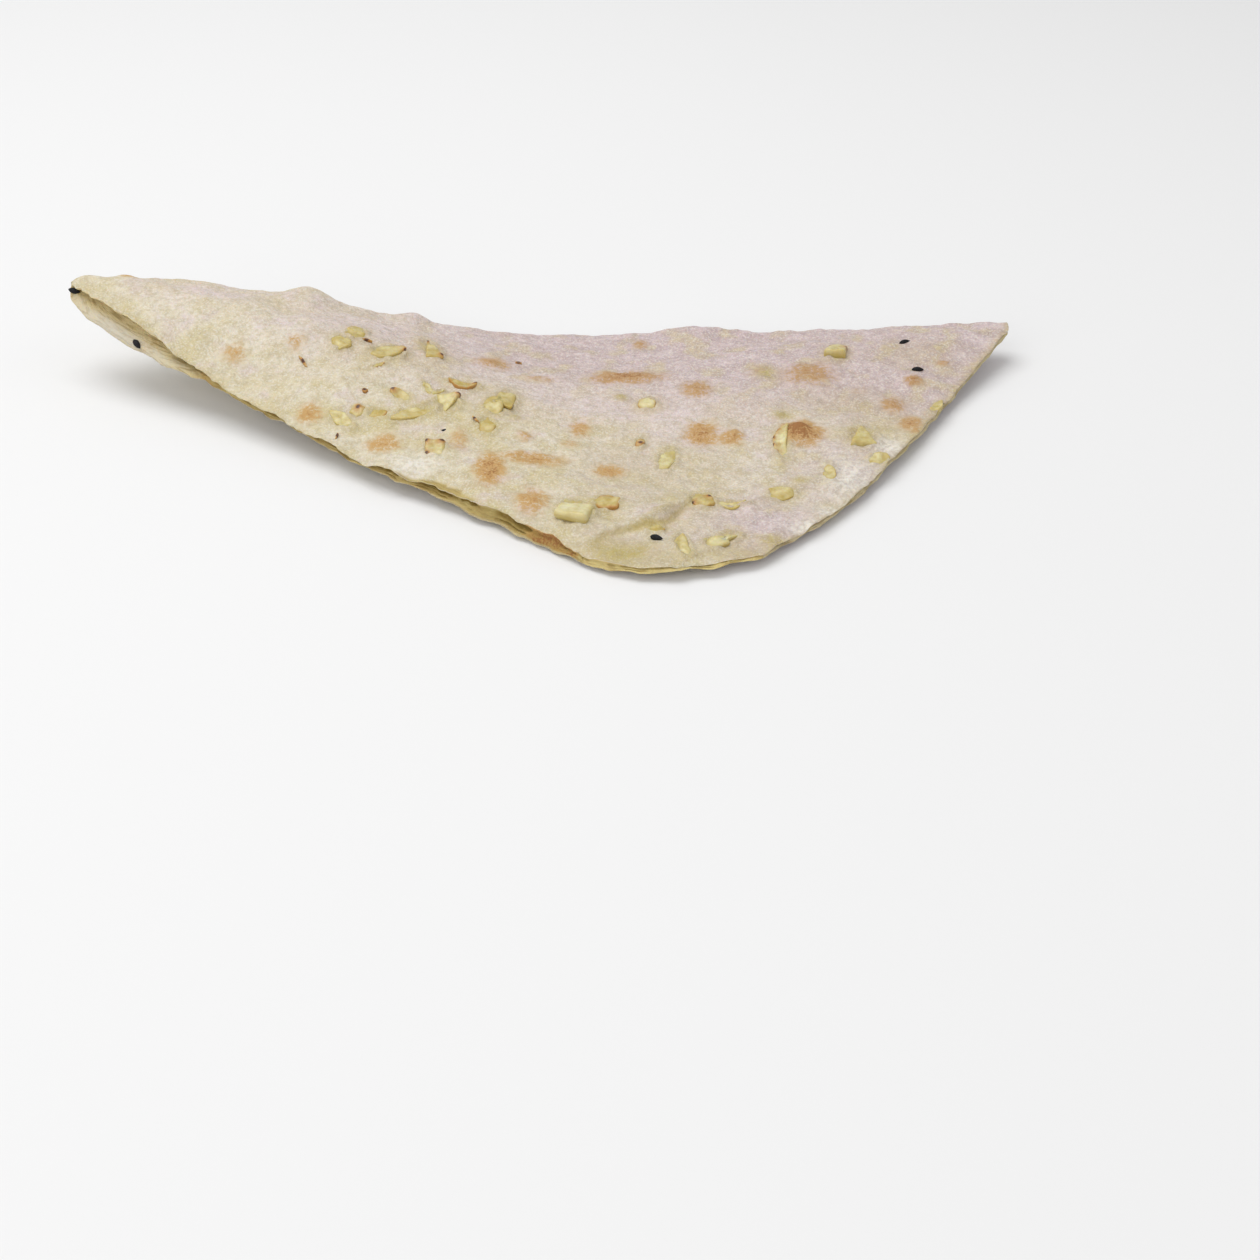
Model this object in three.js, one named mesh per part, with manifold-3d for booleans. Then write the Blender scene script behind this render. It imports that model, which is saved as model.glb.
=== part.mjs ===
// A cut slice of garlic naan: two thin skins of leavened bread around a pocket, with chopped garlic
// and nigella seeds baked into the top. It lies flat, with its left tip curled up and its pocket gaping.
// Millimetres, +Z up, X along the baked crust, Y from the blunt near end to the crust.
import * as THREE from "three";
import { mergeVertices } from "three/addons/utils/BufferGeometryUtils.js";
import Module from "manifold-3d";

// Corners of the slice, on its upper skin
const LEFT_TIP = [-121.5, 48, 23.7];
const RIGHT_TIP = [121.4, 54.8, 9];
const NEAR_LEFT = [11.5, -54.8, 3];
const NEAR_RIGHT = [51.1, -54.6, 2.8];

// Points that each edge of the upper skin passes through between two corners
const CRUST_POINTS = [[-100, 52.4, 22.3], [-67, 55.9, 15.9], [-30, 58.3, 7], [2, 59.1, 3.2], [55, 58.5, 4]];
const LEFT_CUT_POINTS = [
  [-103, 34, 20.8],
  [-80, 16, 11],
  [-55, -3.7, 6.3],
  [-37.9, -18.3, 6.1],
  [-21.4, -28.4, 5.5],
  [-6.2, -39.4, 4.7],
];
const RIGHT_CUT_POINTS = [[104, 26.6, 4.2], [87.5, -4.4, 3], [70, -32.9, 2.8]];
const NEAR_END_POINTS = [[18, -58.6, 3], [27, -60.6, 3], [40, -58.6, 2.9]];

// Bread: thickness where the skins lie shut, thinner towards the near end, and the air between them
const LEFT_THICKNESS = 2.3;
const RIGHT_THICKNESS = 1.6;
const NEAR_THINNING = 0.4;
const NEAR_THINNING_POWER = 6;
const SKIN_SHARE = 0.43;
const POCKET_AIR = 4.5;
const CRUST_STEPS = 56;
const CUT_STEPS = 30;

// Rounded front of the crust, by shares of the way from the upper to the lower skin, and groove of the cuts
const CRUST_NOSE = 1.2;
const CRUST_NOSE_SHARES = [0.2, 0.5, 0.8];
const CUT_NOTCH = 1.1;

// How far each worn tip is drawn in from its sharp corner, and the reach and sharpness of that rounding
const TIP_WEAR = 2.6;
const TIP_REACH = 5.5;
const TIP_SHARPNESS = 1.5;

// The gaping pocket at the left tip, measured along the left cut
const MOUTH_LENGTH = 52;
const MOUTH_LEAN = 0.78;
const MOUTH_GAP = 5;
const MOUTH_DEPTH = 15;
const MOUTH_LIP = 2.8;
const MOUTH_LIP_REACH = 6;

// Farther down the left cut the lower skin is first set back, then hangs loose and stands out;
// places and reaches are shares of the cut
const UNDERCUT = 1.3;
const UNDERCUT_PLACE = 0.47;
const UNDERCUT_REACH = 0.13;
const LEDGE = 1.1;
const LEDGE_LOOSENESS = 2;
const LEDGE_PLACE = 0.87;
const LEDGE_REACH = 0.15;
const LEDGE_DEPTH = 3;

// The lower skin stands out a little along the near end
const NEAR_LIP = 0.9;
const NEAR_LIP_REACH = 4;

// Bubbles along the crust: place along X, half width, height
const CRUST_BUBBLES = [[-60, 6, 3.2], [-34, 4, 1.8], [37, 11, 2.2]];
const CRUST_BUBBLE_REACH = 9;

// Low swells of the upper skin: place, reach, height
const SWELLS = [
  [30, -51, 9, 0.7],
  [78, -5, 16, 1.3],
  [40, 25, 20, 1.1],
  [-12, 4, 18, 1],
  [-52, 17, 16, 1],
  [66, 37, 14, 0.9],
];

// A fold near the blunt end, where a bubble overhangs the flat skin before it
const FOLD_POINTS = [
  [12, -52.5],
  [18, -47.2],
  [24, -43.9],
  [28.5, -42.4],
  [31.2, -39.6],
  [33.6, -35.4],
  [37, -29.5],
];
const FOLD_STEPS = 30;
const FOLD_HEIGHT = 1.7;
const FOLD_STEEPNESS = 0.6;
const FOLD_REACH = 15;

// Chopped garlic baked onto the upper skin: place, length, width, turn in degrees
const GARLIC = [
  [-49.3, 27.5, 4.9, 4.8, 10], [-39.8, 20.4, 4.2, 1.1, 33], [-46.2, 33.2, 6, 4.6, 80],
  [-38.1, 26.8, 10, 5.4, 33], [-28.2, 34.3, 12.5, 5.4, 105], [-19.2, 17.2, 8.6, 2.8, -8],
  [-27.3, 13.4, 6.6, 1.8, -63], [-24.6, 11.8, 4, 1.7, 52], [-33.4, 9.7, 7.4, 2.9, -31],
  [-43.2, 3.8, 3.8, 4, 0], [-38.7, 2.8, 5, 3, -15], [-29.7, 2.9, 11.8, 4.6, 27],
  [-47.1, 1.2, 8.8, 3.6, -48], [-22.3, 6.9, 7.6, 6.4, -86], [-8.4, 12, 7.4, 4.6, 83],
  [-10.4, 7.2, 7.6, 4.6, 98], [-12.1, -1.8, 7.2, 4.2, 100], [-23.8, -12.7, 5.2, 6.2, 5],
  [25.9, 15, 5, 5.4, 0], [24.2, -4, 5, 2.4, 80], [30.4, -12, 11.5, 4.8, 83],
  [9.7, -39.2, 8.4, 10.6, -12], [16.2, -35.2, 6.8, 6, -15], [38, -31.8, 5.6, 6, 10],
  [44.7, -32.6, 7.8, 2, 6], [27.2, -45.2, 4.6, 3.6, 15], [33.4, -52.8, 9.2, 3.6, -76],
  [40.6, -50.4, 5.6, 4.4, 20], [43.6, -47.9, 6, 4.4, 35], [57.9, -3.9, 14.4, 3.4, 86],
  [73.3, 40.8, 5, 9, -8], [77.1, -2.3, 8.4, 7.2, 95], [56.4, -27.6, 6, 4.6, 15],
  [68.1, -18, 8.4, 3.2, 92], [81, -13.2, 4.6, 4.2, 40], [96.6, 15.2, 7, 2.4, 62],
];
const GARLIC_HEIGHT = 1.5;
const GARLIC_SUNK = 0.6;
const GARLIC_TAPER = 0.75;
const GARLIC_SIDES = 6;
const GARLIC_RAGGED = 0.2;

// Nigella seeds: place and turn in degrees
const NIGELLA = [
  [-116.4, 45.4, 20], [-100.1, 29.4, -48], [27.6, -50.4, -32],
  [93.9, 32.7, 12], [92, 46.4, 25], [-22.2, -3.3, 30],
];
const NIGELLA_SIZE = [3.3, 1.4, 1.6];
const NIGELLA_SUNK = 0.4;

const clamp01 = (value) => Math.min(1, Math.max(0, value));
const bell = (distance, reach) => Math.exp(-((distance / reach) ** 2));

function edgeCurve(start, points, end) {
  const through = [start, ...points, end].map((point) => new THREE.Vector3(...point));
  return new THREE.CatmullRomCurve3(through, false, "catmullrom", 0.5);
}

const crust = edgeCurve(LEFT_TIP, CRUST_POINTS, RIGHT_TIP);
const leftCut = edgeCurve(LEFT_TIP, LEFT_CUT_POINTS, NEAR_LEFT);
const rightCut = edgeCurve(RIGHT_TIP, RIGHT_CUT_POINTS, NEAR_RIGHT);
const nearEnd = edgeCurve(NEAR_LEFT, NEAR_END_POINTS, NEAR_RIGHT);
const leftCutLength = leftCut.getLength();
const rightCutLength = rightCut.getLength();
const crustLength = crust.getLength();
const nearEndLength = nearEnd.getLength();

// Width of the slice from cut to cut, and its depth from crust to near end
const rowLength = (b) => crustLength + (nearEndLength - crustLength) * b;
const columnLength = (a) => leftCutLength + (rightCutLength - leftCutLength) * a;

// Height of the upper skin: the height of each edge, weighed by how near that edge is
const TOUCHING = 1e-6;

function heightFromEdges(a, b) {
  const edges = [
    [crust.getPointAt(a).z, b * columnLength(a)],
    [nearEnd.getPointAt(a).z, (1 - b) * columnLength(a)],
    [leftCut.getPointAt(b).z, a * rowLength(b)],
    [rightCut.getPointAt(b).z, (1 - a) * rowLength(b)],
  ];
  let height = 0;
  let total = 0;
  for (const [edgeHeight, distance] of edges) {
    const weight = 1 / (distance * distance + TOUCHING);
    height += weight * edgeHeight;
    total += weight;
  }
  return height / total;
}

// The fold's bubble: it rises steeply on one side of a curved line and fades away behind it
const foldLine = new THREE.SplineCurve(FOLD_POINTS.map((point) => new THREE.Vector2(...point)));
const foldPoints = foldLine.getPoints(FOLD_STEPS);

function foldHeight(x, y) {
  let nearest = Infinity;
  let side = 0;
  let along = 0;
  foldPoints.forEach((point, index) => {
    const distance = Math.hypot(x - point.x, y - point.y);
    if (distance < nearest) {
      nearest = distance;
      along = index / FOLD_STEPS;
      const tangent = foldLine.getTangent(along);
      side = tangent.x * (y - point.y) - tangent.y * (x - point.x);
    }
  });
  const step = 1 / (1 + Math.exp(-side / FOLD_STEEPNESS));
  return FOLD_HEIGHT * step * bell(nearest, FOLD_REACH) * Math.sqrt(Math.sin(Math.PI * along));
}

// Upper skin, a patch stretched between the four edges: a runs along the crust, b towards the near end
function upperSkin(a, b) {
  const point = new THREE.Vector3();
  point.addScaledVector(crust.getPointAt(a), 1 - b);
  point.addScaledVector(nearEnd.getPointAt(a), b);
  point.addScaledVector(leftCut.getPointAt(b), 1 - a);
  point.addScaledVector(rightCut.getPointAt(b), a);
  point.addScaledVector(new THREE.Vector3(...LEFT_TIP), -(1 - a) * (1 - b));
  point.addScaledVector(new THREE.Vector3(...RIGHT_TIP), -a * (1 - b));
  point.addScaledVector(new THREE.Vector3(...NEAR_LEFT), -(1 - a) * b);
  point.addScaledVector(new THREE.Vector3(...NEAR_RIGHT), -a * b);
  for (const tip of [LEFT_TIP, RIGHT_TIP]) {
    const inward = new THREE.Vector2(-tip[0], -tip[1]).normalize();
    const closeness = clamp01(1 - Math.hypot(point.x - tip[0], point.y - tip[1]) / TIP_REACH);
    const wear = TIP_WEAR * closeness ** TIP_SHARPNESS;
    point.x += inward.x * wear;
    point.y += inward.y * wear;
  }
  point.z = heightFromEdges(a, b) + foldHeight(point.x, point.y);
  for (const [x, halfWidth, height] of CRUST_BUBBLES) {
    point.z += height * bell(point.x - x, halfWidth) * bell(b * columnLength(a), CRUST_BUBBLE_REACH);
  }
  for (const [x, y, reach, height] of SWELLS) {
    point.z += height * bell(Math.hypot(point.x - x, point.y - y), reach);
  }
  return point;
}

// How far the pocket gapes at a place along the left cut: 0 shut, 1 widest
function gape(b) {
  const along = clamp01((b * leftCutLength) / MOUTH_LENGTH);
  return Math.sin(Math.PI * along ** MOUTH_LEAN);
}

// Thickness where the two skins lie shut, and with the pocket's air between them
function shutThickness(a, b) {
  const thinned = 1 - NEAR_THINNING * b ** NEAR_THINNING_POWER;
  return (LEFT_THICKNESS + (RIGHT_THICKNESS - LEFT_THICKNESS) * a) * thinned;
}

function thickness(a, b) {
  const opened = MOUTH_GAP * gape(b) + LEDGE_LOOSENESS * bell(b - LEDGE_PLACE, LEDGE_REACH);
  const air = POCKET_AIR * Math.sin(Math.PI * a) * Math.sin(Math.PI * b);
  return shutThickness(a, b) + opened * bell(a * rowLength(b), MOUTH_DEPTH) + air;
}

// Lower skin, under the upper one, resting on the table where it would sag below it
function lowerSkin(a, b) {
  const point = upperSkin(a, b);
  point.z = Math.max(0, point.z - thickness(a, b));
  const fromCut = a * rowLength(b);
  const fromEnd = (1 - b) * columnLength(a);
  const undercut = UNDERCUT * bell(b - UNDERCUT_PLACE, UNDERCUT_REACH);
  const ledge = LEDGE * bell(b - LEDGE_PLACE, LEDGE_REACH) - undercut;
  const mouthLip = MOUTH_LIP * gape(b) * Math.exp(-fromCut / MOUTH_LIP_REACH);
  const cutLip = mouthLip + ledge * Math.exp(-fromCut / LEDGE_DEPTH);
  const endShare = Math.sqrt(Math.max(0, Math.sin(Math.PI * a)));
  const endLip = NEAR_LIP * endShare * Math.exp(-fromEnd / NEAR_LIP_REACH);
  const alongCut = leftCut.getTangentAt(b);
  const alongEnd = nearEnd.getTangentAt(a);
  point.x += alongCut.y * cutLip + alongEnd.y * endLip;
  point.y -= alongCut.x * cutLip + alongEnd.x * endLip;
  return point;
}

// Once round the slice, against the clock as seen from above
function outline() {
  const places = [];
  for (let j = 0; j < CUT_STEPS; j++) places.push([0, j]);
  for (let i = 0; i < CRUST_STEPS; i++) places.push([i, CUT_STEPS]);
  for (let j = CUT_STEPS; j > 0; j--) places.push([CRUST_STEPS, j]);
  for (let i = CRUST_STEPS; i > 0; i--) places.push([i, 0]);
  return places;
}

// Three points from the upper to the lower skin: a rounded front on the crust, a groove on the cuts
function edgeProfile(i, j) {
  const a = i / CRUST_STEPS;
  const b = j / CUT_STEPS;
  const top = upperSkin(a, b);
  const bottom = lowerSkin(a, b);
  if (j === 0) {
    const along = crust.getTangentAt(a);
    const outward = new THREE.Vector3(-along.y, along.x, 0).normalize();
    const nose = CRUST_NOSE * Math.sqrt(Math.sin(Math.PI * a));
    return CRUST_NOSE_SHARES.map((share) => {
      return top.clone().lerp(bottom, share).addScaledVector(outward, nose * Math.sin(Math.PI * share));
    });
  }
  const mouth = i === 0 ? gape(b) * (MOUTH_DEPTH - CUT_NOTCH) : 0;
  const fromSide = (i === 0 ? CUT_NOTCH + mouth : i === CRUST_STEPS ? -CUT_NOTCH : 0) / rowLength(b);
  const fromEnd = j === CUT_STEPS ? CUT_NOTCH / columnLength(a) : 0;
  const innerTop = upperSkin(a + fromSide, b - fromEnd);
  const groove = innerTop.lerp(lowerSkin(a + fromSide, b - fromEnd), 0.5);
  top.z -= SKIN_SHARE * shutThickness(a, b);
  bottom.z += SKIN_SHARE * shutThickness(a, b);
  return [top, groove, bottom];
}

function breadGeometry() {
  const vertices = [];
  const triangles = [];
  const addVertex = (point) => vertices.push(point.x, point.y, point.z) / 3 - 1;
  const addQuad = (first, second, third, fourth) => {
    triangles.push(first, second, third, first, third, fourth);
  };
  const addGrid = (surface) => {
    const grid = [];
    for (let i = 0; i <= CRUST_STEPS; i++) {
      grid.push([]);
      for (let j = 0; j <= CUT_STEPS; j++) {
        grid[i].push(addVertex(surface(i / CRUST_STEPS, j / CUT_STEPS)));
      }
    }
    return grid;
  };
  const upper = addGrid(upperSkin);
  const lower = addGrid(lowerSkin);
  for (let i = 0; i < CRUST_STEPS; i++) {
    for (let j = 0; j < CUT_STEPS; j++) {
      addQuad(upper[i][j], upper[i][j + 1], upper[i + 1][j + 1], upper[i + 1][j]);
      addQuad(lower[i][j], lower[i + 1][j], lower[i + 1][j + 1], lower[i][j + 1]);
    }
  }
  const rings = outline().map(([i, j]) => [upper[i][j], ...edgeProfile(i, j).map(addVertex), lower[i][j]]);
  rings.forEach((ring, index) => {
    const next = rings[(index + 1) % rings.length];
    for (let k = 0; k + 1 < ring.length; k++) addQuad(ring[k], ring[k + 1], next[k + 1], next[k]);
  });
  const geometry = new THREE.BufferGeometry();
  geometry.setAttribute("position", new THREE.Float32BufferAttribute(vertices, 3));
  geometry.setIndex(triangles);
  return geometry;
}

const wasm = await Module();
wasm.setup();

function toSolid(geometry) {
  geometry.deleteAttribute("normal");
  geometry.deleteAttribute("uv");
  const merged = mergeVertices(geometry);
  return new wasm.Manifold(new wasm.Mesh({
    numProp: 3,
    vertProperties: new Float32Array(merged.attributes.position.array),
    triVerts: new Uint32Array(merged.index.array),
  }));
}

function toGeometry(solid) {
  const { vertProperties, triVerts } = solid.getMesh();
  const geometry = new THREE.BufferGeometry();
  geometry.setAttribute("position", new THREE.Float32BufferAttribute(vertProperties, 3));
  geometry.setIndex(Array.from(triVerts));
  geometry.computeVertexNormals();
  return geometry;
}

// Where a topping lies: straight down onto the bread, turned in the plane of the skin under it
const UP = new THREE.Vector3(0, 1, 0);
const WELL_ABOVE = 100;

function layOn(breadMesh, geometry, [x, y], turn, lift) {
  const above = new THREE.Vector3(x, y, WELL_ABOVE);
  const caster = new THREE.Raycaster(above, new THREE.Vector3(0, 0, -1));
  const { point, face } = caster.intersectObject(breadMesh)[0];
  const tilt = new THREE.Quaternion().setFromUnitVectors(UP, face.normal);
  const spin = new THREE.Quaternion().setFromAxisAngle(UP, THREE.MathUtils.degToRad(turn));
  const place = point.clone().addScaledVector(face.normal, lift);
  geometry.applyMatrix4(new THREE.Matrix4().compose(place, tilt.multiply(spin), new THREE.Vector3(1, 1, 1)));
  return geometry;
}

// One chip of garlic: a low tapered block with uneven corners, no two chips alike
const UNLIKENESS = 1.7;

function garlicChip(length, width, index) {
  const chip = new THREE.CylinderGeometry(GARLIC_TAPER / 2, 0.5, GARLIC_HEIGHT, GARLIC_SIDES);
  const corners = chip.attributes.position;
  for (let k = 0; k < corners.count; k++) {
    const corner = Math.round((Math.atan2(corners.getZ(k), corners.getX(k)) * GARLIC_SIDES) / Math.PI);
    const ragged = 1 + GARLIC_RAGGED * Math.sin((2 * Math.PI * corner) / GARLIC_SIDES + UNLIKENESS * index);
    corners.setX(k, corners.getX(k) * length * ragged);
    corners.setZ(k, corners.getZ(k) * width * ragged);
  }
  return chip;
}

function nigellaSeed() {
  return new THREE.IcosahedronGeometry(0.5, 0).scale(...NIGELLA_SIZE);
}

const breadMesh = new THREE.Mesh(breadGeometry());
let solid = toSolid(breadMesh.geometry);
GARLIC.forEach(([x, y, length, width, turn], index) => {
  const chip = garlicChip(length, width, index);
  solid = solid.add(toSolid(layOn(breadMesh, chip, [x, y], turn, GARLIC_HEIGHT / 2 - GARLIC_SUNK)));
});
NIGELLA.forEach(([x, y, turn]) => {
  const lift = NIGELLA_SIZE[1] / 2 - NIGELLA_SUNK;
  solid = solid.add(toSolid(layOn(breadMesh, nigellaSeed(), [x, y], turn, lift)));
});

const breadColour = new THREE.MeshStandardMaterial({ color: 0xd8cfb5, roughness: 0.75, metalness: 0 });
const naanSlice = new THREE.Mesh(toGeometry(solid), breadColour);
naanSlice.name = "naan_slice";
const slice = new THREE.Group();
slice.add(naanSlice);

export default slice;
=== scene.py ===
import math

import bpy
import numpy as np
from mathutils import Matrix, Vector
from mathutils.bvhtree import BVHTree


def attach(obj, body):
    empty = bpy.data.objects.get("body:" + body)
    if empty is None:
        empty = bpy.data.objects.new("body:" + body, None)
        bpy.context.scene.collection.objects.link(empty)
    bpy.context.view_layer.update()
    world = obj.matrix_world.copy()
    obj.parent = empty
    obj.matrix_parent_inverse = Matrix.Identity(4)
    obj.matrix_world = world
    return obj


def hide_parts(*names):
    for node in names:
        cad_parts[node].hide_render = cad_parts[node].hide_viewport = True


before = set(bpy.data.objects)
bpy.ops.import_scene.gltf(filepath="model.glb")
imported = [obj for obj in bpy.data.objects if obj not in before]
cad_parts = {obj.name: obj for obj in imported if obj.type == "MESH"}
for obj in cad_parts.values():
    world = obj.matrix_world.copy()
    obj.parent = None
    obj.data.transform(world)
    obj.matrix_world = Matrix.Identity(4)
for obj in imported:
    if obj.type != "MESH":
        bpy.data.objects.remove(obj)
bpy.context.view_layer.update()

# The bread: one cut slice of a large thin naan, two skins of wheat dough that steam blew apart.
# It was slapped onto a hot clay wall, which toasted its bubbles brown, and then cut with a wheel,
# so that both cut sides show the two skins and the pocket gapes at the left tip.
MM = 0.001

# Corners of the slice on its upper skin, and the points that its edges pass through, in millimetres
LEFT_TIP = (-121.5, 48, 23.7)
RIGHT_TIP = (121.4, 54.8, 9)
NEAR_LEFT = (11.5, -54.8, 3)
NEAR_RIGHT = (51.1, -54.6, 2.8)
CRUST_POINTS = [(-100, 52.4, 22.3), (-67, 55.9, 15.9), (-30, 58.3, 7), (2, 59.1, 3.2), (55, 58.5, 4)]
LEFT_CUT_POINTS = [
    (-103, 34, 20.8), (-80, 16, 11), (-55, -3.7, 6.3),
    (-37.9, -18.3, 6.1), (-21.4, -28.4, 5.5), (-6.2, -39.4, 4.7),
]
RIGHT_CUT_POINTS = [(104, 26.6, 4.2), (87.5, -4.4, 3), (70, -32.9, 2.8)]
NEAR_END_POINTS = [(18, -58.6, 3), (27, -60.6, 3), (40, -58.6, 2.9)]
TIP_WEAR = 2.6
TIP_REACH = 5.5

# Thickness where the skins lie shut, the ledge and the undercut of the lower skin along the left cut, the
# air between the skins, and the gaping mouth; places and reaches on a cut are shares of its length
LEFT_THICKNESS = 2.3
RIGHT_THICKNESS = 1.6
CUT_LOOSENESS = 2
CUT_LEDGE = 1.1
CUT_LEDGE_PLACE = 0.87
CUT_LEDGE_REACH = 0.15
CUT_UNDERCUT = 1.3
CUT_UNDERCUT_PLACE = 0.47
CUT_UNDERCUT_REACH = 0.13
POCKET_AIR = 4.5
MOUTH_LENGTH = 52
MOUTH_GAP = 5
MOUTH_DEPTH = 15
MOUTH_LIP = 2.8
MOUTH_LIP_REACH = 6
NEAR_THINNING = 0.4
NEAR_LIP = 0.9
NEAR_LIP_REACH = 4

# Bubbles on the crust (place along X, half width, height) and low swells (place, reach, height)
CRUST_BUBBLES = [(-60, 6, 3.2), (-34, 4, 1.8), (37, 11, 2.2)]
CRUST_BUBBLE_REACH = 9
SWELLS = [
    (30, -51, 9, 0.7), (78, -5, 16, 1.3), (40, 25, 20, 1.1),
    (-12, 4, 18, 1), (-52, 17, 16, 1), (66, 37, 14, 0.9), (16.6, -41.2, 3.4, -0.8),
]

# The fold near the blunt end: a bubble that hangs over the skin before it
FOLD_POINTS = [
    (12, -52.5), (18, -47.2), (24, -43.9), (28.5, -42.4),
    (31.2, -39.6), (33.6, -35.4), (37, -29.5),
]
FOLD_HEIGHT = 1.9
FOLD_STEEPNESS = 1.3
FOLD_REACH = 15
FOLD_OVERHANG = 0.35
FOLD_OVERHANG_REACH = 4

# Wrinkles of the skin: start, end, half width, height
WRINKLES = [
    ((45.6, -44), (56.2, -33.7), 1.2, 0.7), ((31.5, -17), (34, -28), 1.0, 0.35),
    ((62, -33), (76, -17), 1.4, 0.5), ((20, 43), (62, 44), 1.8, 0.3),
    ((-14, 28), (14, 26), 1.2, 0.22), ((-86, 27), (-62, 40), 2.2, 0.3),
    ((24.6, -43), (33.4, -34.2), 1.3, 0.9), ((48, -50), (58, -44), 0.9, 0.3),
    ((40, -42), (50, -33), 0.9, 0.3), ((-70, 12), (-40, 4), 1.2, 0.25),
]

# Toasted blisters: place, half width, half depth, how brown
BLISTERS = [
    (-55, 3.3, 2.8, 3.6, 0.95), (-36, -9, 4, 3.8, 0.9), (-10.4, -21, 3.2, 6.8, 1.25),
    (-0.8, -15, 7, 3.2, 0.95), (-0.3, -34.4, 3.4, 5.4, 1), (9.8, 2, 2.4, 4.2, 0.85),
    (17, -18.6, 3.4, 3, 0.9), (21, 30.4, 7.8, 3.4, 1.3), (38.4, 22.8, 3.3, 4, 1.05),
    (39, 0.8, 3.5, 5.4, 1.2), (46, -1.1, 2.8, 3.4, 1.05), (63, 0.6, 4, 4.6, 1.9),
    (61.8, 2.6, 2.8, 2.8, 2.6), (53.4, 32, 2.6, 3.9, 0.35), (66.5, 29.7, 6.2, 5.8, 0.85),
    (92.2, 27, 2.2, 1.8, 1.1), (86.2, 15.6, 2.8, 4.2, 0.9), (89.5, 6, 2.6, 3.8, 1.05),
    (-12.5, 33.5, 4.6, 3.4, 0.8), (24.4, 51.5, 2, 2.9, 0.8), (-0.6, 27, 5.4, 2.2, 0.5),
    (-75, 23.6, 3.4, 3.4, 0.6), (-60.4, 26.6, 2.8, 2.8, 0.55), (-105, 51, 2, 1.6, 0.9),
    (-18.4, -8, 2.4, 5.5, 0.6), (-3, -5, 2, 2.6, 0.6), (7.5, -6, 2.2, 2.4, 0.55),
    (100.7, 36, 1.8, 1.4, 0.7), (78, 22, 3, 3.4, 0.3),
]
BLISTER_RISE = 0.5
BLISTER_REACH = 0.95

# Undulation of the skin: height, wavelength, seed
UNDULATIONS = [(0.3, 16, 11), (0.17, 6, 12), (0.08, 2.8, 13)]

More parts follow.
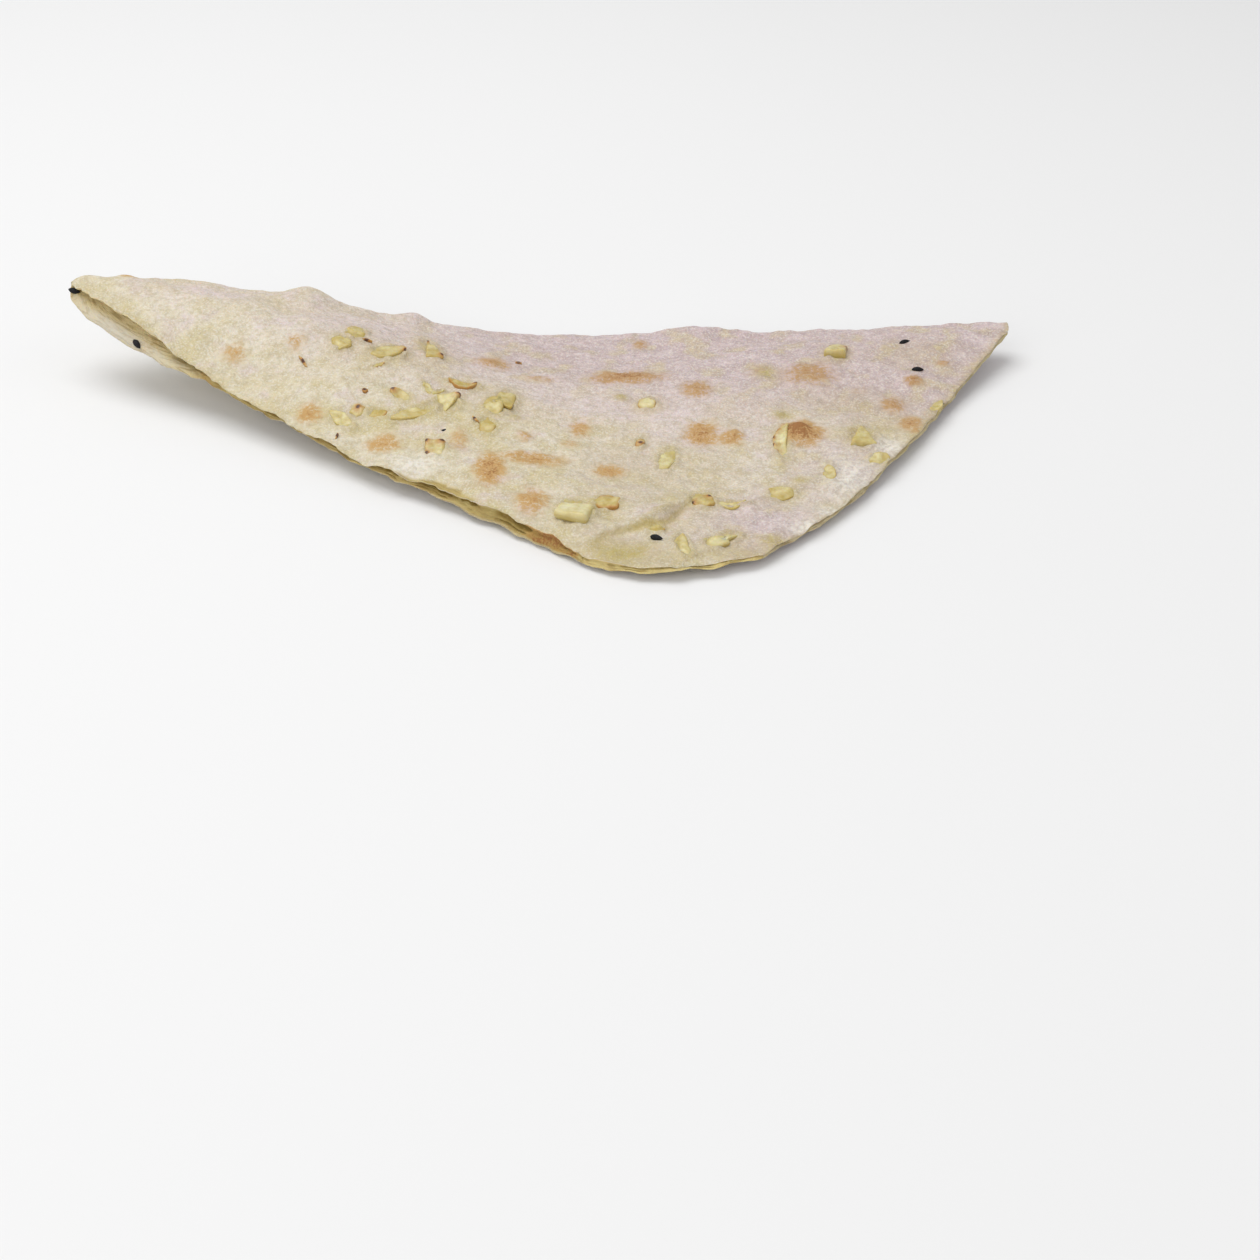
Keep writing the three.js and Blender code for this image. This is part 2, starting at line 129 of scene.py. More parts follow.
# Garlic: place, length, width, turn in degrees, cut, height above the skin, bend, how toasted, how deep its
# yellow, and burnt spots, each by its place along and across the chip in halves of the length and the width
GARLIC = [
    (-49.3, 27.5, 4.9, 5.6, 10, "lobe", 0.7, 0, 0.1, 0.75, ()),
    (-39.8, 20.4, 4.2, 1.1, 33, "leaf", 0.4, 0, 0.6, 0.8, ()),
    (-46.2, 33.2, 7.4, 4.6, 80, "lobe", 0.7, 0, 0.1, 0.7, ()),
    (-38.1, 26.8, 10, 5.4, 33, "leaf", 0.7, 0, 0.12, 0.65, ((1, 0.3), (0.9, -0.4))),
    (-28.2, 34.3, 12.5, 5.4, 105, "wedge", 1.1, 0, 0.2, 0.75, ((0.85, -0.1), (-0.85, -0.7))),
    (-19.2, 17.2, 8.6, 2.8, -8, "leaf", 0.9, 3, 0.5, 0.8, ((0.95, 0.1), (0.75, 0.3))),
    (-27.3, 13.4, 6.6, 1.8, -63, "leaf", 0.45, 0.3, 0.1, 0.55, ()),
    (-24.6, 11.8, 4, 1.7, 52, "leaf", 0.45, 0, 0.15, 0.7, ()),
    (-33.4, 9.7, 7.4, 2.9, -31, "leaf", 0.5, 0, 0.1, 0.6, ((-1, 0), (-0.7, 0.2))),
    (-43.2, 3.8, 3.8, 4, 0, "lobe", 0.75, 0, 0.3, 0.5, ((0.1, 0.3),)),
    (-38.7, 2.8, 5.4, 4.2, -15, "lobe", 0.6, 0, 0.5, 0.95, ()),
    (-29.7, 2.9, 11.8, 4.6, 27, "leaf", 0.6, 0, 0, 0.65, ()),
    (-47.1, 1.2, 8.8, 3.6, -48, "leaf", 0.5, 0, 0, 0.3, ()),
    (-22.3, 6.9, 7.6, 6.4, -86, "wedge", 0.6, 0, 0.1, 0.45, ((-0.8, 0.95),)),
    (-8.4, 12, 8.8, 5.2, 83, "block", 1, 0, 0, 0.85, ()),
    (-11, 7.2, 8.6, 5, 98, "lobe", 0.9, 0, 0, 0.65, ()),
    (-12.1, -1.8, 7.2, 4.2, 100, "lobe", 0.6, 0, 0.35, 0.85, ()),
    (-23.8, -12.7, 5.2, 6.2, 5, "block", 0.8, 0, 0.2, 0.45, ((-0.7, 0.85), (0.75, 0.75), (-0.75, -0.55))),
    (25.9, 15, 5, 5.4, 0, "lobe", 0.8, 0, 0.45, 0.4, ()),
    (24.2, -4, 5, 2.4, 80, "lobe", 0.6, 0, 0.6, 0.6, ((-0.3, 0),)),
    (30.4, -12, 11.5, 4.8, 83, "lobe", 0.45, 0, 0, 0.35, ()),
    (9.7, -39.2, 7.9, 11.2, -12, "block", 1.5, 0, 0, 0, ()),
    (16.2, -35.2, 6.8, 6, -15, "lobe", 0.7, 0, 0.5, 0.85, ((-0.3, 1),)),
    (38, -31.8, 5.6, 6, 10, "lobe", 0.8, 0, 0.35, 0.75, ((-0.85, -0.3), (0.8, 0.4))),
    (44.7, -32.6, 7.8, 2, 6, "leaf", 0.45, 2.6, 0, 0.6, ()),
    (27.2, -45.2, 4.6, 3.6, 15, "lobe", 0.3, 0, 0.35, 0.8, ()),
    (33.4, -52.8, 9.2, 3.6, -76, "leaf", 0.6, 1.5, 0, 0.35, ()),
    (40.6, -50.4, 5.6, 4.4, 20, "lobe", 0.7, 0, 0.1, 0.5, ()),
    (43.6, -47.9, 6, 4.4, 35, "wedge", 0.6, 0, 0, 0.25, ()),
    (57.9, -3.9, 14.4, 3.4, 86, "leaf", 0.8, -1.7, 0.2, 0.1, ((-0.6, 0.8), (-0.2, 1), (0.2, 1), (0.6, 0.8))),
    (74.1, 41, 5.2, 7.4, -8, "block", 1.6, 0, 0.05, 0.55, ((-0.8, 1), (1, 0.2))),
    (77.1, -2.3, 9.4, 7.4, 95, "wedge", 1.5, 0, 0, 0.6, ()),
    (56.4, -27.6, 6, 4.6, 15, "lobe", 0.9, 0, 0.1, 0.7, ()),
    (68.1, -18, 8.4, 3.2, 92, "leaf", 0.6, 0, 0.4, 0.5, ()),
    (79.9, -12.6, 5.6, 4.6, 40, "lobe", 0.6, 0, 0, 0.6, ()),
    (96.6, 15.2, 7, 2.4, 62, "leaf", 0.6, 0, 0, 0.7, ()),
]

# The dough round a chip, by the distance from its middle in halves of its length and width
COLLAR_RISE = 0.55
COLLAR_PLACE = 1.05
COLLAR_REACH = 0.26
COLLAR_UNEVENNESS = 0.7
COLLAR_LUMP = 3.5
PRESSED_FLAT = 0.85

# Garlic under a film of dough: place, half width, half depth
SUNKEN_GARLIC = [
    (55.8, 31.5, 3, 4), (58.5, 9.6, 2.8, 1.6), (53.5, -50, 4, 3), (61, -22, 2.4, 1.6), (-6, 4, 2, 2.4),
    (19.7, 18.8, 2.2, 2),
]
SUNKEN_RISE = 0.45

# How fine the bread's mesh is, in millimetres between points, and the rings of its rim from top to bottom
UPPER_STEP = 0.66
LOWER_STEP = 2.4
RIM_SHARES = (0.05, 0.12, 0.18, 0.24, 0.31, 0.38, 0.45, 0.52, 0.59, 0.64, 0.69, 0.73, 0.77, 0.81, 0.88, 0.95)


def bell(distance, reach):
    return np.exp(-((distance / reach) ** 2))


def blend(first, second, share):
    return first + (second - first) * share


def ripples(x, y, wavelength, seed):
    """A smooth uneven field from about -1 to 1, with hills about one wavelength apart."""
    draw = np.random.default_rng(seed)
    waves = 16
    total = 0
    for _ in range(waves):
        heading = draw.uniform(0, 2 * np.pi)
        turns = 2 * np.pi / (wavelength * draw.uniform(0.7, 1.6))
        start = draw.uniform(0, 2 * np.pi)
        total = total + np.sin(turns * (x * np.cos(heading) + y * np.sin(heading)) + start)
    return total / math.sqrt(waves)


class EdgeLine:
    """A smooth line through points, read by the share of its length."""

    def __init__(self, *through):
        points = np.array(through, float)
        ends = np.vstack([2 * points[0] - points[1], points, 2 * points[-1] - points[-2]])
        t = np.linspace(0, 1, 200, endpoint=False)[:, None]
        runs = []
        for before, start, end, after in zip(ends, ends[1:], ends[2:], ends[3:]):
            leave = (end - before) / 2
            arrive = (after - start) / 2
            bend = 3 * (end - start) - 2 * leave - arrive
            settle = 2 * (start - end) + leave + arrive
            runs.append(start + leave * t + bend * t**2 + settle * t**3)
        self.points = np.vstack([*runs, points[-1:]])
        steps = np.linalg.norm(np.diff(self.points, axis=0), axis=1)
        self.travelled = np.concatenate([[0], np.cumsum(steps)])
        self.length = self.travelled[-1]

    def at(self, share):
        far = np.asarray(share) * self.length
        return np.stack([np.interp(far, self.travelled, axis) for axis in self.points.T], axis=-1)

    def outward(self, share):
        """Level direction to the right of the line's travel."""
        step = 0.002
        share = np.asarray(share)
        ahead = self.at(np.minimum(share + step, 1)) - self.at(np.maximum(share - step, 0))
        ahead = ahead[..., :2] / np.linalg.norm(ahead[..., :2], axis=-1, keepdims=True)
        return np.stack([ahead[..., 1], -ahead[..., 0]], axis=-1)


crust = EdgeLine(LEFT_TIP, *CRUST_POINTS, RIGHT_TIP)
left_cut = EdgeLine(LEFT_TIP, *LEFT_CUT_POINTS, NEAR_LEFT)
right_cut = EdgeLine(RIGHT_TIP, *RIGHT_CUT_POINTS, NEAR_RIGHT)
near_end = EdgeLine(NEAR_LEFT, *NEAR_END_POINTS, NEAR_RIGHT)
fold = EdgeLine(*FOLD_POINTS)


def row_length(b):
    return blend(crust.length, near_end.length, b)


def column_length(a):
    return blend(left_cut.length, right_cut.length, a)


def height_from_edges(a, b):
    """The height of each edge, weighed by how near that edge is."""
    edges = [
        (crust.at(a)[..., 2], b * column_length(a)),
        (near_end.at(a)[..., 2], (1 - b) * column_length(a)),
        (left_cut.at(b)[..., 2], a * row_length(b)),
        (right_cut.at(b)[..., 2], (1 - a) * row_length(b)),
    ]
    weights = [1 / (distance**2 + 1e-6) for _, distance in edges]
    return sum(weight * height for weight, (height, _) in zip(weights, edges)) / sum(weights)


def plan(a, b):
    """Place seen from above: a runs along the crust, b from the crust to the near end."""
    tips = [np.array(tip[:2]) for tip in (LEFT_TIP, RIGHT_TIP)]
    ends = [np.array(end[:2]) for end in (NEAR_LEFT, NEAR_RIGHT)]
    share_a = a[..., None]
    share_b = b[..., None]
    along = blend(crust.at(a)[..., :2], near_end.at(a)[..., :2], share_b)
    across = blend(left_cut.at(b)[..., :2], right_cut.at(b)[..., :2], share_a)
    flat = blend(blend(*tips, share_a), blend(*ends, share_a), share_b)
    place = along + across - flat
    for tip in tips:
        closeness = np.clip(1 - np.linalg.norm(place - tip, axis=-1, keepdims=True) / TIP_REACH, 0, 1)
        place = place - tip / np.linalg.norm(tip) * TIP_WEAR * closeness**1.5
    return place


def fold_place(place):
    """Distance to the fold's line, how far behind it, how far along it, and the way that it hangs over."""
    nearest = np.full(place.shape[:-1], np.inf)
    behind = np.zeros(place.shape[:-1])
    along = np.zeros(place.shape[:-1])
    over = np.zeros(place.shape)
    shares = np.linspace(0, 1, 80)
    for share, point, outward in zip(shares, fold.at(shares), fold.outward(shares)):
        offset = place - point
        distance = np.linalg.norm(offset, axis=-1)
        closer = distance < nearest
        nearest = np.where(closer, distance, nearest)
        behind = np.where(closer, -offset @ outward, behind)
        along = np.where(closer, share, along)
        over = np.where(closer[..., None], outward, over)
    return nearest, behind, along, over


def upper_form(a, b):
    """The upper skin without its small relief."""
    place = plan(a, b)
    x, y = place[..., 0], place[..., 1]
    nearest, behind, along, over = fold_place(place)
    fold_middle = np.sin(np.pi * along) ** 0.6
    rise = 1 / (1 + np.exp(-4 * behind / FOLD_STEEPNESS))
    z = height_from_edges(a, b) + FOLD_HEIGHT * fold_middle * rise * bell(nearest, FOLD_REACH)
    for bubble_x, half_width, height in CRUST_BUBBLES:
        z = z + height * bell(x - bubble_x, half_width) * bell(b * column_length(a), CRUST_BUBBLE_REACH)
    for swell_x, swell_y, reach, height in SWELLS:
        z = z + height * bell(np.hypot(x - swell_x, y - swell_y), reach)
    hang = FOLD_OVERHANG * fold_middle * rise * np.exp(-np.maximum(behind, 0) / FOLD_OVERHANG_REACH)
    place = place + over * hang[..., None]
    return np.concatenate([place, z[..., None]], axis=-1)


def gape(b):
    """How far the pocket gapes at a place along the left cut: 0 shut, 1 widest."""
    return np.sin(np.pi * np.clip(b * left_cut.length / MOUTH_LENGTH, 0, 1) ** 0.78)


def thickness(a, b):
    """From the upper skin down to the lower one."""
    shut = blend(LEFT_THICKNESS, RIGHT_THICKNESS, a) * (1 - NEAR_THINNING * b**6)
    loose = CUT_LOOSENESS * bell(b - CUT_LEDGE_PLACE, CUT_LEDGE_REACH) * bell(a * row_length(b), MOUTH_DEPTH)
    mouth = MOUTH_GAP * gape(b) * bell(a * row_length(b), MOUTH_DEPTH)
    return shut + loose + mouth + POCKET_AIR * np.sin(np.pi * a) * np.sin(np.pi * b)


# Tears of the cut edges: the share of the long and the short ones in a tear, and the edge's curl up and down
LONG_TEAR = 0.65
LONG_TEAR_WAVE = 8
SHORT_TEAR = 0.4
SHORT_TEAR_WAVE = 2.2
TEAR_REACH = 1.6
EDGE_CURL = 0.6
EDGE_CURL_WAVE = 7
EDGE_CURL_REACH = 2.5


def torn(a, b, points, sizes, seed):
    """The cut edges moved in and out a little, as the wheel tears the skin."""
    edges = [
        (left_cut, b, a * row_length(b), 1),
        (right_cut, b, (1 - a) * row_length(b), -1),
        (near_end, a, (1 - b) * column_length(a), 1),
    ]
    for (line, share, distance, side), size in zip(edges, sizes):
        far = share * line.length
        tear = LONG_TEAR * ripples(far, 0, LONG_TEAR_WAVE, seed)
        tear = tear + SHORT_TEAR * ripples(far, 0, SHORT_TEAR_WAVE, seed + 1)
        reach = np.exp(-distance / TEAR_REACH)[..., None]
        points[..., :2] += side * line.outward(share) * (size * tear)[..., None] * reach
        curl = EDGE_CURL * size * ripples(far, 0, EDGE_CURL_WAVE, seed + 2)
        points[..., 2] += curl * np.exp(-distance / EDGE_CURL_REACH)
        seed += 3
    return points


def ellipse_distance(x, y, place_x, place_y, half_width, half_depth, turn=0):
    """Distance from the middle of an ellipse, in its half sizes."""
    angle = math.radians(turn)
    across = (x - place_x) * math.cos(angle) + (y - place_y) * math.sin(angle)
    deep = (y - place_y) * math.cos(angle) - (x - place_x) * math.sin(angle)
    return np.hypot(across / half_width, deep / half_depth)


def garlic_cover(x, y, reach, place=0):
    """1 at a place on or round a chip of garlic, in half sizes from its middle, falling to 0 beyond."""
    cover = np.zeros(np.shape(x))
    for chip_x, chip_y, length, width, turn, *_ in GARLIC:
        away = ellipse_distance(x, y, chip_x, chip_y, length / 2, width / 2, turn)
        cover = np.maximum(cover, bell(away - place, reach))
    return cover


def small_relief(x, y):
    """Undulation, blisters and wrinkles, pressed flat under each chip of garlic and raised round it."""
    relief = sum(height * ripples(x, y, wavelength, seed) for height, wavelength, seed in UNDULATIONS)
    for *blister, brown in BLISTERS:
        relief = relief + BLISTER_RISE * brown * bell(ellipse_distance(x, y, *blister), BLISTER_REACH)
    for sunken in SUNKEN_GARLIC:
        relief = relief + SUNKEN_RISE * bell(ellipse_distance(x, y, *sunken), 1)
    for start, end, half_width, height in WRINKLES:
        run = np.array(end, float) - start
        share = np.clip(((x - start[0]) * run[0] + (y - start[1]) * run[1]) / run.dot(run), 0, 1)
        away = np.hypot(x - start[0] - share * run[0], y - start[1] - share * run[1])
        relief = relief + height * bell(away, half_width) * np.sin(np.pi * (0.1 + 0.8 * share))
    relief = relief * (1 - PRESSED_FLAT * garlic_cover(x, y, 1))
    collar = COLLAR_RISE * garlic_cover(x, y, COLLAR_REACH, COLLAR_PLACE)
    return relief + collar * np.maximum(1 + COLLAR_UNEVENNESS * ripples(x, y, COLLAR_LUMP, 14), 0)


# Size of the tears along the left cut, the right cut and the near end
UPPER_TEARS = (0.38, 0.14, 0.2)
LOWER_TEARS = (0.42, 0.18, 0.3)
MOUTH_SMOOTHNESS = 0.6

# Flaps that droop over the left cut: share of the way along it, half length, droop
CUT_FLAPS = [(0.61, 0.03, 1.1), (0.82, 0.015, 0.4), (0.89, 0.02, 0.4)]
FLAP_REACH = 1.5

# The strip beside the left cut where the top layer has peeled off
PEEL_PLACE = 0.745
PEEL_REACH = 0.045
PEEL_DEPTH = 3.8
PEEL_DROP = 0.6
PEEL_RAGGED = 0.2
PEEL_RAGGED_WAVE = 4
PEEL_MARGIN = 0.4
PEEL_STEP = 0.12


def peeled(a, b):
    """1 where the top layer of the skin has come off beside the left cut, else 0."""
    ragged = 1 + PEEL_RAGGED * ripples(b * left_cut.length, 0, PEEL_RAGGED_WAVE, 35)
    edge = PEEL_DEPTH * bell(b - PEEL_PLACE, PEEL_REACH) * ragged - PEEL_MARGIN
    return 1 / (1 + np.exp((a * row_length(b) - edge) / PEEL_STEP))


def upper_skin(a, b):
    """The upper skin with its tears, relief, drooping flaps and peeled strip."""
    points = torn(a, b, upper_form(a, b), UPPER_TEARS, 21)
    points[..., 2] += small_relief(points[..., 0], points[..., 1])
    for share, half_length, droop in CUT_FLAPS:
        points[..., 2] -= droop * bell(b - share, half_length) * np.exp(-a * row_length(b) / FLAP_REACH)
    points[..., 2] -= PEEL_DROP * peeled(a, b)
    return points


# Unevenness of the lower skin: its hollows, and the ledge and the lip that stand out along its edges
UNDER_HOLLOWS = 0.25
UNDER_HOLLOW_WAVE = 12
LEDGE_RAGGED = 0.2
LEDGE_DEPTH = 3
NEAR_LIP_RAGGED = 0.4
LIP_RAGGED_WAVE = 9


def lower_skin(a, b):
    """Under the upper skin, resting on the floor where it would sag below it."""
    points = upper_form(a, b)
    hollows = UNDER_HOLLOWS * (1 + ripples(points[..., 0], points[..., 1], UNDER_HOLLOW_WAVE, 31))
    points[..., 2] = np.maximum(points[..., 2] - thickness(a, b), 0) + np.maximum(hollows, 0)
    mouth_lip = MOUTH_LIP * gape(b) * np.exp(-a * row_length(b) / MOUTH_LIP_REACH)
    ledge = CUT_LEDGE * bell(b - CUT_LEDGE_PLACE, CUT_LEDGE_REACH)
    ledge = ledge * (1 + LEDGE_RAGGED * ripples(b * left_cut.length, 0, LIP_RAGGED_WAVE, 33))
    undercut = CUT_UNDERCUT * bell(b - CUT_UNDERCUT_PLACE, CUT_UNDERCUT_REACH)
    mouth_lip = mouth_lip + (ledge - undercut) * np.exp(-a * row_length(b) / LEDGE_DEPTH)
    ragged = 1 + NEAR_LIP_RAGGED * ripples(a * near_end.length, 0, LIP_RAGGED_WAVE, 32)
    near_lip = NEAR_LIP * np.sin(np.pi * a) ** 0.5 * ragged
    near_lip = near_lip * np.exp(-(1 - b) * column_length(a) / NEAR_LIP_REACH)
    points[..., :2] += left_cut.outward(b) * mouth_lip[..., None] + near_end.outward(a) * near_lip[..., None]
    left_tear, *other_tears = LOWER_TEARS
    smoothed = left_tear * (1 - MOUTH_SMOOTHNESS * gape(b))
    points = torn(a, b, points, (smoothed, *other_tears), 41)
    points[..., 2] = np.maximum(points[..., 2], 0)
    return points


def row_places(step):
    """Rows of places from the crust to the near end, with points about one step apart in each row."""
    rows = round(left_cut.length / UPPER_STEP)
    for row in range(rows + 1):
        b = row / rows
        at_end = row in (0, rows)
        count = round(row_length(b) / (UPPER_STEP if at_end else step))
        yield np.linspace(0, 1, count + 1), np.full(count + 1, b)


def stitch(first, second):
    """Triangles between two rows of points that may hold different numbers of them."""
    faces = []
    i = 0
    j = 0
    while i < len(first) - 1 or j < len(second) - 1:
        if (i + 1) * (len(second) - 1) <= (j + 1) * (len(first) - 1):
            faces.append((first[i], second[j], first[i + 1]))
            i += 1
        else:
            faces.append((first[i], second[j], second[j + 1]))
            j += 1
    return faces


def lay_rows(step, first_index):
    """All places of one skin, the index of each row's points, and the triangles between the rows."""
    places = list(row_places(step))
    rows = []
    for a, _ in places:
        rows.append(range(first_index, first_index + len(a)))
        first_index += len(a)
    faces = [face for first, second in zip(rows, rows[1:]) for face in stitch(first, second)]
    return np.concatenate([a for a, _ in places]), np.concatenate([b for _, b in places]), rows, faces


def round_the_rim(rows):
    """Once round the slice from the left tip: down the left cut, along the near end, up and back."""
    down = [row[0] for row in rows]
    up = [row[-1] for row in reversed(rows)]
    return np.array(down + list(rows[-1])[1:-1] + up + list(rows[0])[-2:0:-1])


upper_a, upper_b, upper_rows, upper_faces = lay_rows(UPPER_STEP, 0)
lower_a, lower_b, lower_rows, lower_faces = lay_rows(LOWER_STEP, len(upper_a))
upper_rim = round_the_rim(upper_rows)
lower_rim = round_the_rim(lower_rows)
rim_a = upper_a[upper_rim]
rim_b = upper_b[upper_rim]
on_left = rim_a == 0
on_right = rim_a == 1
on_crust = rim_b == 0
on_near = rim_b == 1
rim_far = np.where(on_left | on_right, rim_b * column_length(rim_a), rim_a * row_length(rim_b))
inward_a = (on_left * 1.0 - on_right * 1.0) / row_length(rim_b)
inward_b = (on_crust * 1.0 - on_near * 1.0) / column_length(rim_a)
open_share = np.where(on_left & ~on_crust, gape(rim_b), 0)

# A cut edge from top to bottom: two rounded lips and an uneven groove between them, which grows into
# the deep pocket where the cut gapes; the crust has a round nose instead
CRUST_NOSE = 1.2
GROOVE_DEPTH = 1.3
GROOVE_MEAN = 0.8
GROOVE_WAVES = [(0.6, 11, 51), (0.35, 3, 52)]
SHALLOWEST_GROOVE = 0.15
RIGHT_GROOVE = 0.6
LEDGE_GROOVE = 1.3
FLAKE_GROOVE = 0.5
FLAKE_MEAN = 0.5
FLAKE_UNEVENNESS = 0.8
FLAKE_WAVE = 9
LIP_ROUND = 0.15
LIP_RIDGE = 0.5
LIP_RIDGE_REACH = 0.8
LIP_BAND = 1.5

# Levels on a cut, as shares of the way down from the upper skin to the lower one: middle, reach
UPPER_LIP = (0.1, 0.08)
LOWER_LIP = (0.9, 0.08)
GROOVE = (0.36, 0.16)
FLAKE = (0.71, 0.07)
MOUTH_TOP = 0.15
MOUTH_HEIGHT = 0.66
HALFWAY = 0.5


def rim_outward():
    """Level direction out of the bread at each point of its rim."""
    here = plan(rim_a, rim_b)
    inside = plan(rim_a + 0.5 * inward_a, rim_b + 0.5 * inward_b)
    away = here - inside
    return away / np.linalg.norm(away, axis=1, keepdims=True)


def at_level(share, level):
    """1 at the middle of a level, falling to 0 above and below."""
    middle, reach = level
    return bell(share - middle, reach)


def rim_inset(share):
    """How far the rim lies inward of the skins' edges, at a share of the way down."""
    uneven = GROOVE_MEAN
    for size, wavelength, seed in GROOVE_WAVES:
        uneven = uneven + size * ripples(rim_far, 0, wavelength, seed)
    left_groove = 1 + LEDGE_GROOVE * bell(rim_b - CUT_LEDGE_PLACE, CUT_LEDGE_REACH)
    uneven = np.maximum(uneven, SHALLOWEST_GROOVE) * np.where(on_left, left_groove, RIGHT_GROOVE)
    flaky = np.maximum(FLAKE_MEAN + FLAKE_UNEVENNESS * ripples(rim_far, 0, FLAKE_WAVE, 53), 0)
    lips = LIP_ROUND * (at_level(share, UPPER_LIP) + at_level(share, LOWER_LIP))
    grooves = at_level(share, GROOVE) + FLAKE_GROOVE * flaky * at_level(share, FLAKE)
    shut = GROOVE_DEPTH * uneven * grooves - lips
    mouth = MOUTH_DEPTH * np.sin(np.pi * np.clip((share - MOUTH_TOP) / MOUTH_HEIGHT, 0, 1)) ** 1.6 - lips
    nose = CRUST_NOSE * np.sqrt(np.sin(np.pi * rim_a)) * np.sin(np.pi * share)
    return np.where(on_crust, -nose, blend(shut, mouth, open_share**1.5))


def rim_ring(share):
    """A ring of points round the rim, part of the way from the upper to the lower skin."""
    inset = rim_inset(share)
    within = np.maximum(inset, 0)
    a = np.clip(rim_a + within * inward_a, 0, 1)
    b = np.clip(rim_b + within * inward_b, 0, 1)
    points = blend(upper_skin(a, b), lower_skin(a, b), share)
    points[:, :2] += rim_outward() * np.maximum(-inset, 0)[:, None]
    if share > HALFWAY:
        points[:, 2] += LIP_RIDGE * open_share * bell(inset - LIP_BAND, LIP_RIDGE_REACH)
    return points


rim_rings = [rim_ring(share) for share in RIM_SHARES]
bread_points = np.vstack([upper_skin(upper_a, upper_b), lower_skin(lower_a, lower_b), *rim_rings])
ring_start = len(upper_a) + len(lower_a)
ring_index = ring_start + np.arange(len(RIM_SHARES) * len(rim_a)).reshape(len(RIM_SHARES), -1)
bread_faces = upper_faces + [face[::-1] for face in lower_faces]
rim_levels = [upper_rim, *ring_index, lower_rim]
for above, below in zip(rim_levels, rim_levels[1:]):
    bread_faces += np.stack([above, below, np.roll(below, -1), np.roll(above, -1)], axis=1).tolist()

# What the oven, the butter and the wheel did to each point of the bread, and the painted light and shade
# on it, for its colours

# Toasted stretches of the left cut: share of the way along it, reach, how brown, lowest level on the cut
CUT_TOAST_PLACES = [
    (0.93, 0.03, 1.45, 0.85), (0.955, 0.016, 2.4, 0.28), (0.975, 0.014, 1.3, 0.85),
    (0.3, 0.03, 0.4, 1), (0.18, 0.02, 0.35, 1),
]
UNDER_SPOTS = 34
SPOT_WOBBLE = 0.08
SPOT_WOBBLE_WAVE = 6
TOAST_REACH = 1.1

# Dry flour: place, half width, half depth
FLOUR_PATCHES = [
    (72.5, -21, 4.8, 7), (83.4, -6.5, 3, 3.5), (-28, -19, 5, 4), (62, -43, 3.5, 2), (66.5, -35.5, 2.5, 2),
]

# Paler skin: place, half width, half depth, amount
PALE_PATCHES = [
    (-45, 39, 22, 15, 1), (-84, 46, 15, 7, 1), (20, 14, 36, 9, 0.9),
    (21, -13, 10, 8, 0.6), (31, 2, 11, 6, 0.8),
]

# Butter that soaked in, and one patch of painted shade: place, half width, half depth, turn in degrees,
# amount
BUTTER_AND_SHADE_POOLS = [
    (20, -55, 12, 6, -10, 1), (24, -20, 18, 18, 0, 0.35), (54, -51, 5, 3, 25, 0.8),
    # The patch at (16.6, -41.2) is painted shade: the big chip's shadow in the hollow beside it
    (16.6, -41.2, 3, 3.6, 0, 0.5), (28.6, -39.2, 7, 1.7, 46, 0.6), (84, 3, 8, 6, 0, 0.45),
    (76, 16, 15, 7, 0, 0.35), (94, 40, 11, 7, 0, 0.4), (44, -55, 12, 6, 0, 0.7),
    (66, -40, 5, 5, 0, 0.5), (13, -45, 7, 4, 0, 0.45), (31, -31, 8, 6, 0, 0.4),
]

# Butter round and over the garlic, and along the left cut, the right cut and the near end: amount, reach
GARLIC_BUTTER = (0.85, 1.5)
SUNKEN_BUTTER = 0.9
EDGE_BUTTER = [(0.4, 3), (0.7, 1.6), (0.5, 2.5)]

# Painted shade in the crease before the fold, and the skin that the wheel pulled along the right cut
CREASE_SHADE_REACH = 1.2
CREASE_SHADE_BACK = 0.2
CREASE_SHADE_STEP = 0.25
PULL_REACH = 22
PULL_GROWTH = 1.6

# Painted lilac light, a tint of coloured light on the skin: behind a slanting line and right of the left
# tip, faint on the right of the slice, and two patches (place, reach, amount)
LILAC_LIGHT_LINE = 16
LILAC_LIGHT_LINE_MIDDLE = 20
LILAC_LIGHT_LINE_SLANT = 0.15
LILAC_LIGHT_LINE_REACH = 14
LILAC_LIGHT_LEFT = -40
LILAC_LIGHT_LEFT_REACH = 12
FAINT_LILAC_LIGHT = 0.28
FAINT_LEFT = 5
FAINT_LEFT_REACH = 10
LILAC_LIGHT_PATCHES = [(52, -42, 17, 0.9), (74, -16, 19, 0.85)]

# Painted shade on the cuts: how much on the left one and on the right one, and the depth of groove
# that adds the rest
LEFT_CUT_DARKNESS = 0.5
RIGHT_CUT_DARKNESS = 0.05
GROOVE_DARKNESS = 0.5
DARK_GROOVE = 1.2
DARK_MOUTH = 9

# How far the pale lips of the cuts show, and from which level down
LEFT_LIP_PALENESS = 0.3
LEFT_LIP_LEVEL = 0.85
RIGHT_LIP_PALENESS = 0.5

# The level on a cut down to which it has the skin's colours
SKIN_LEVEL = 0.1

point_x, point_y = bread_points[:, 0], bread_points[:, 1]
is_upper = np.arange(len(bread_points)) < len(upper_a)
is_rim = np.arange(len(bread_points)) >= ring_start
is_lower = ~is_upper & ~is_rim
point_a = np.concatenate([upper_a, lower_a, *[rim_a] * len(RIM_SHARES)])
point_b = np.concatenate([upper_b, lower_b, *[rim_b] * len(RIM_SHARES)])
point_level = np.concatenate([0 * upper_a, 1 + 0 * lower_a, np.repeat(RIM_SHARES, len(rim_a))])
wobble = 1 + SPOT_WOBBLE * ripples(point_x, point_y, SPOT_WOBBLE_WAVE, 61)


def spot(place, reach=1):
    """1 in the middle of a spot on the bread, falling to 0 over its uneven edge."""
    return bell(ellipse_distance(point_x, point_y, *place) * wobble, reach)


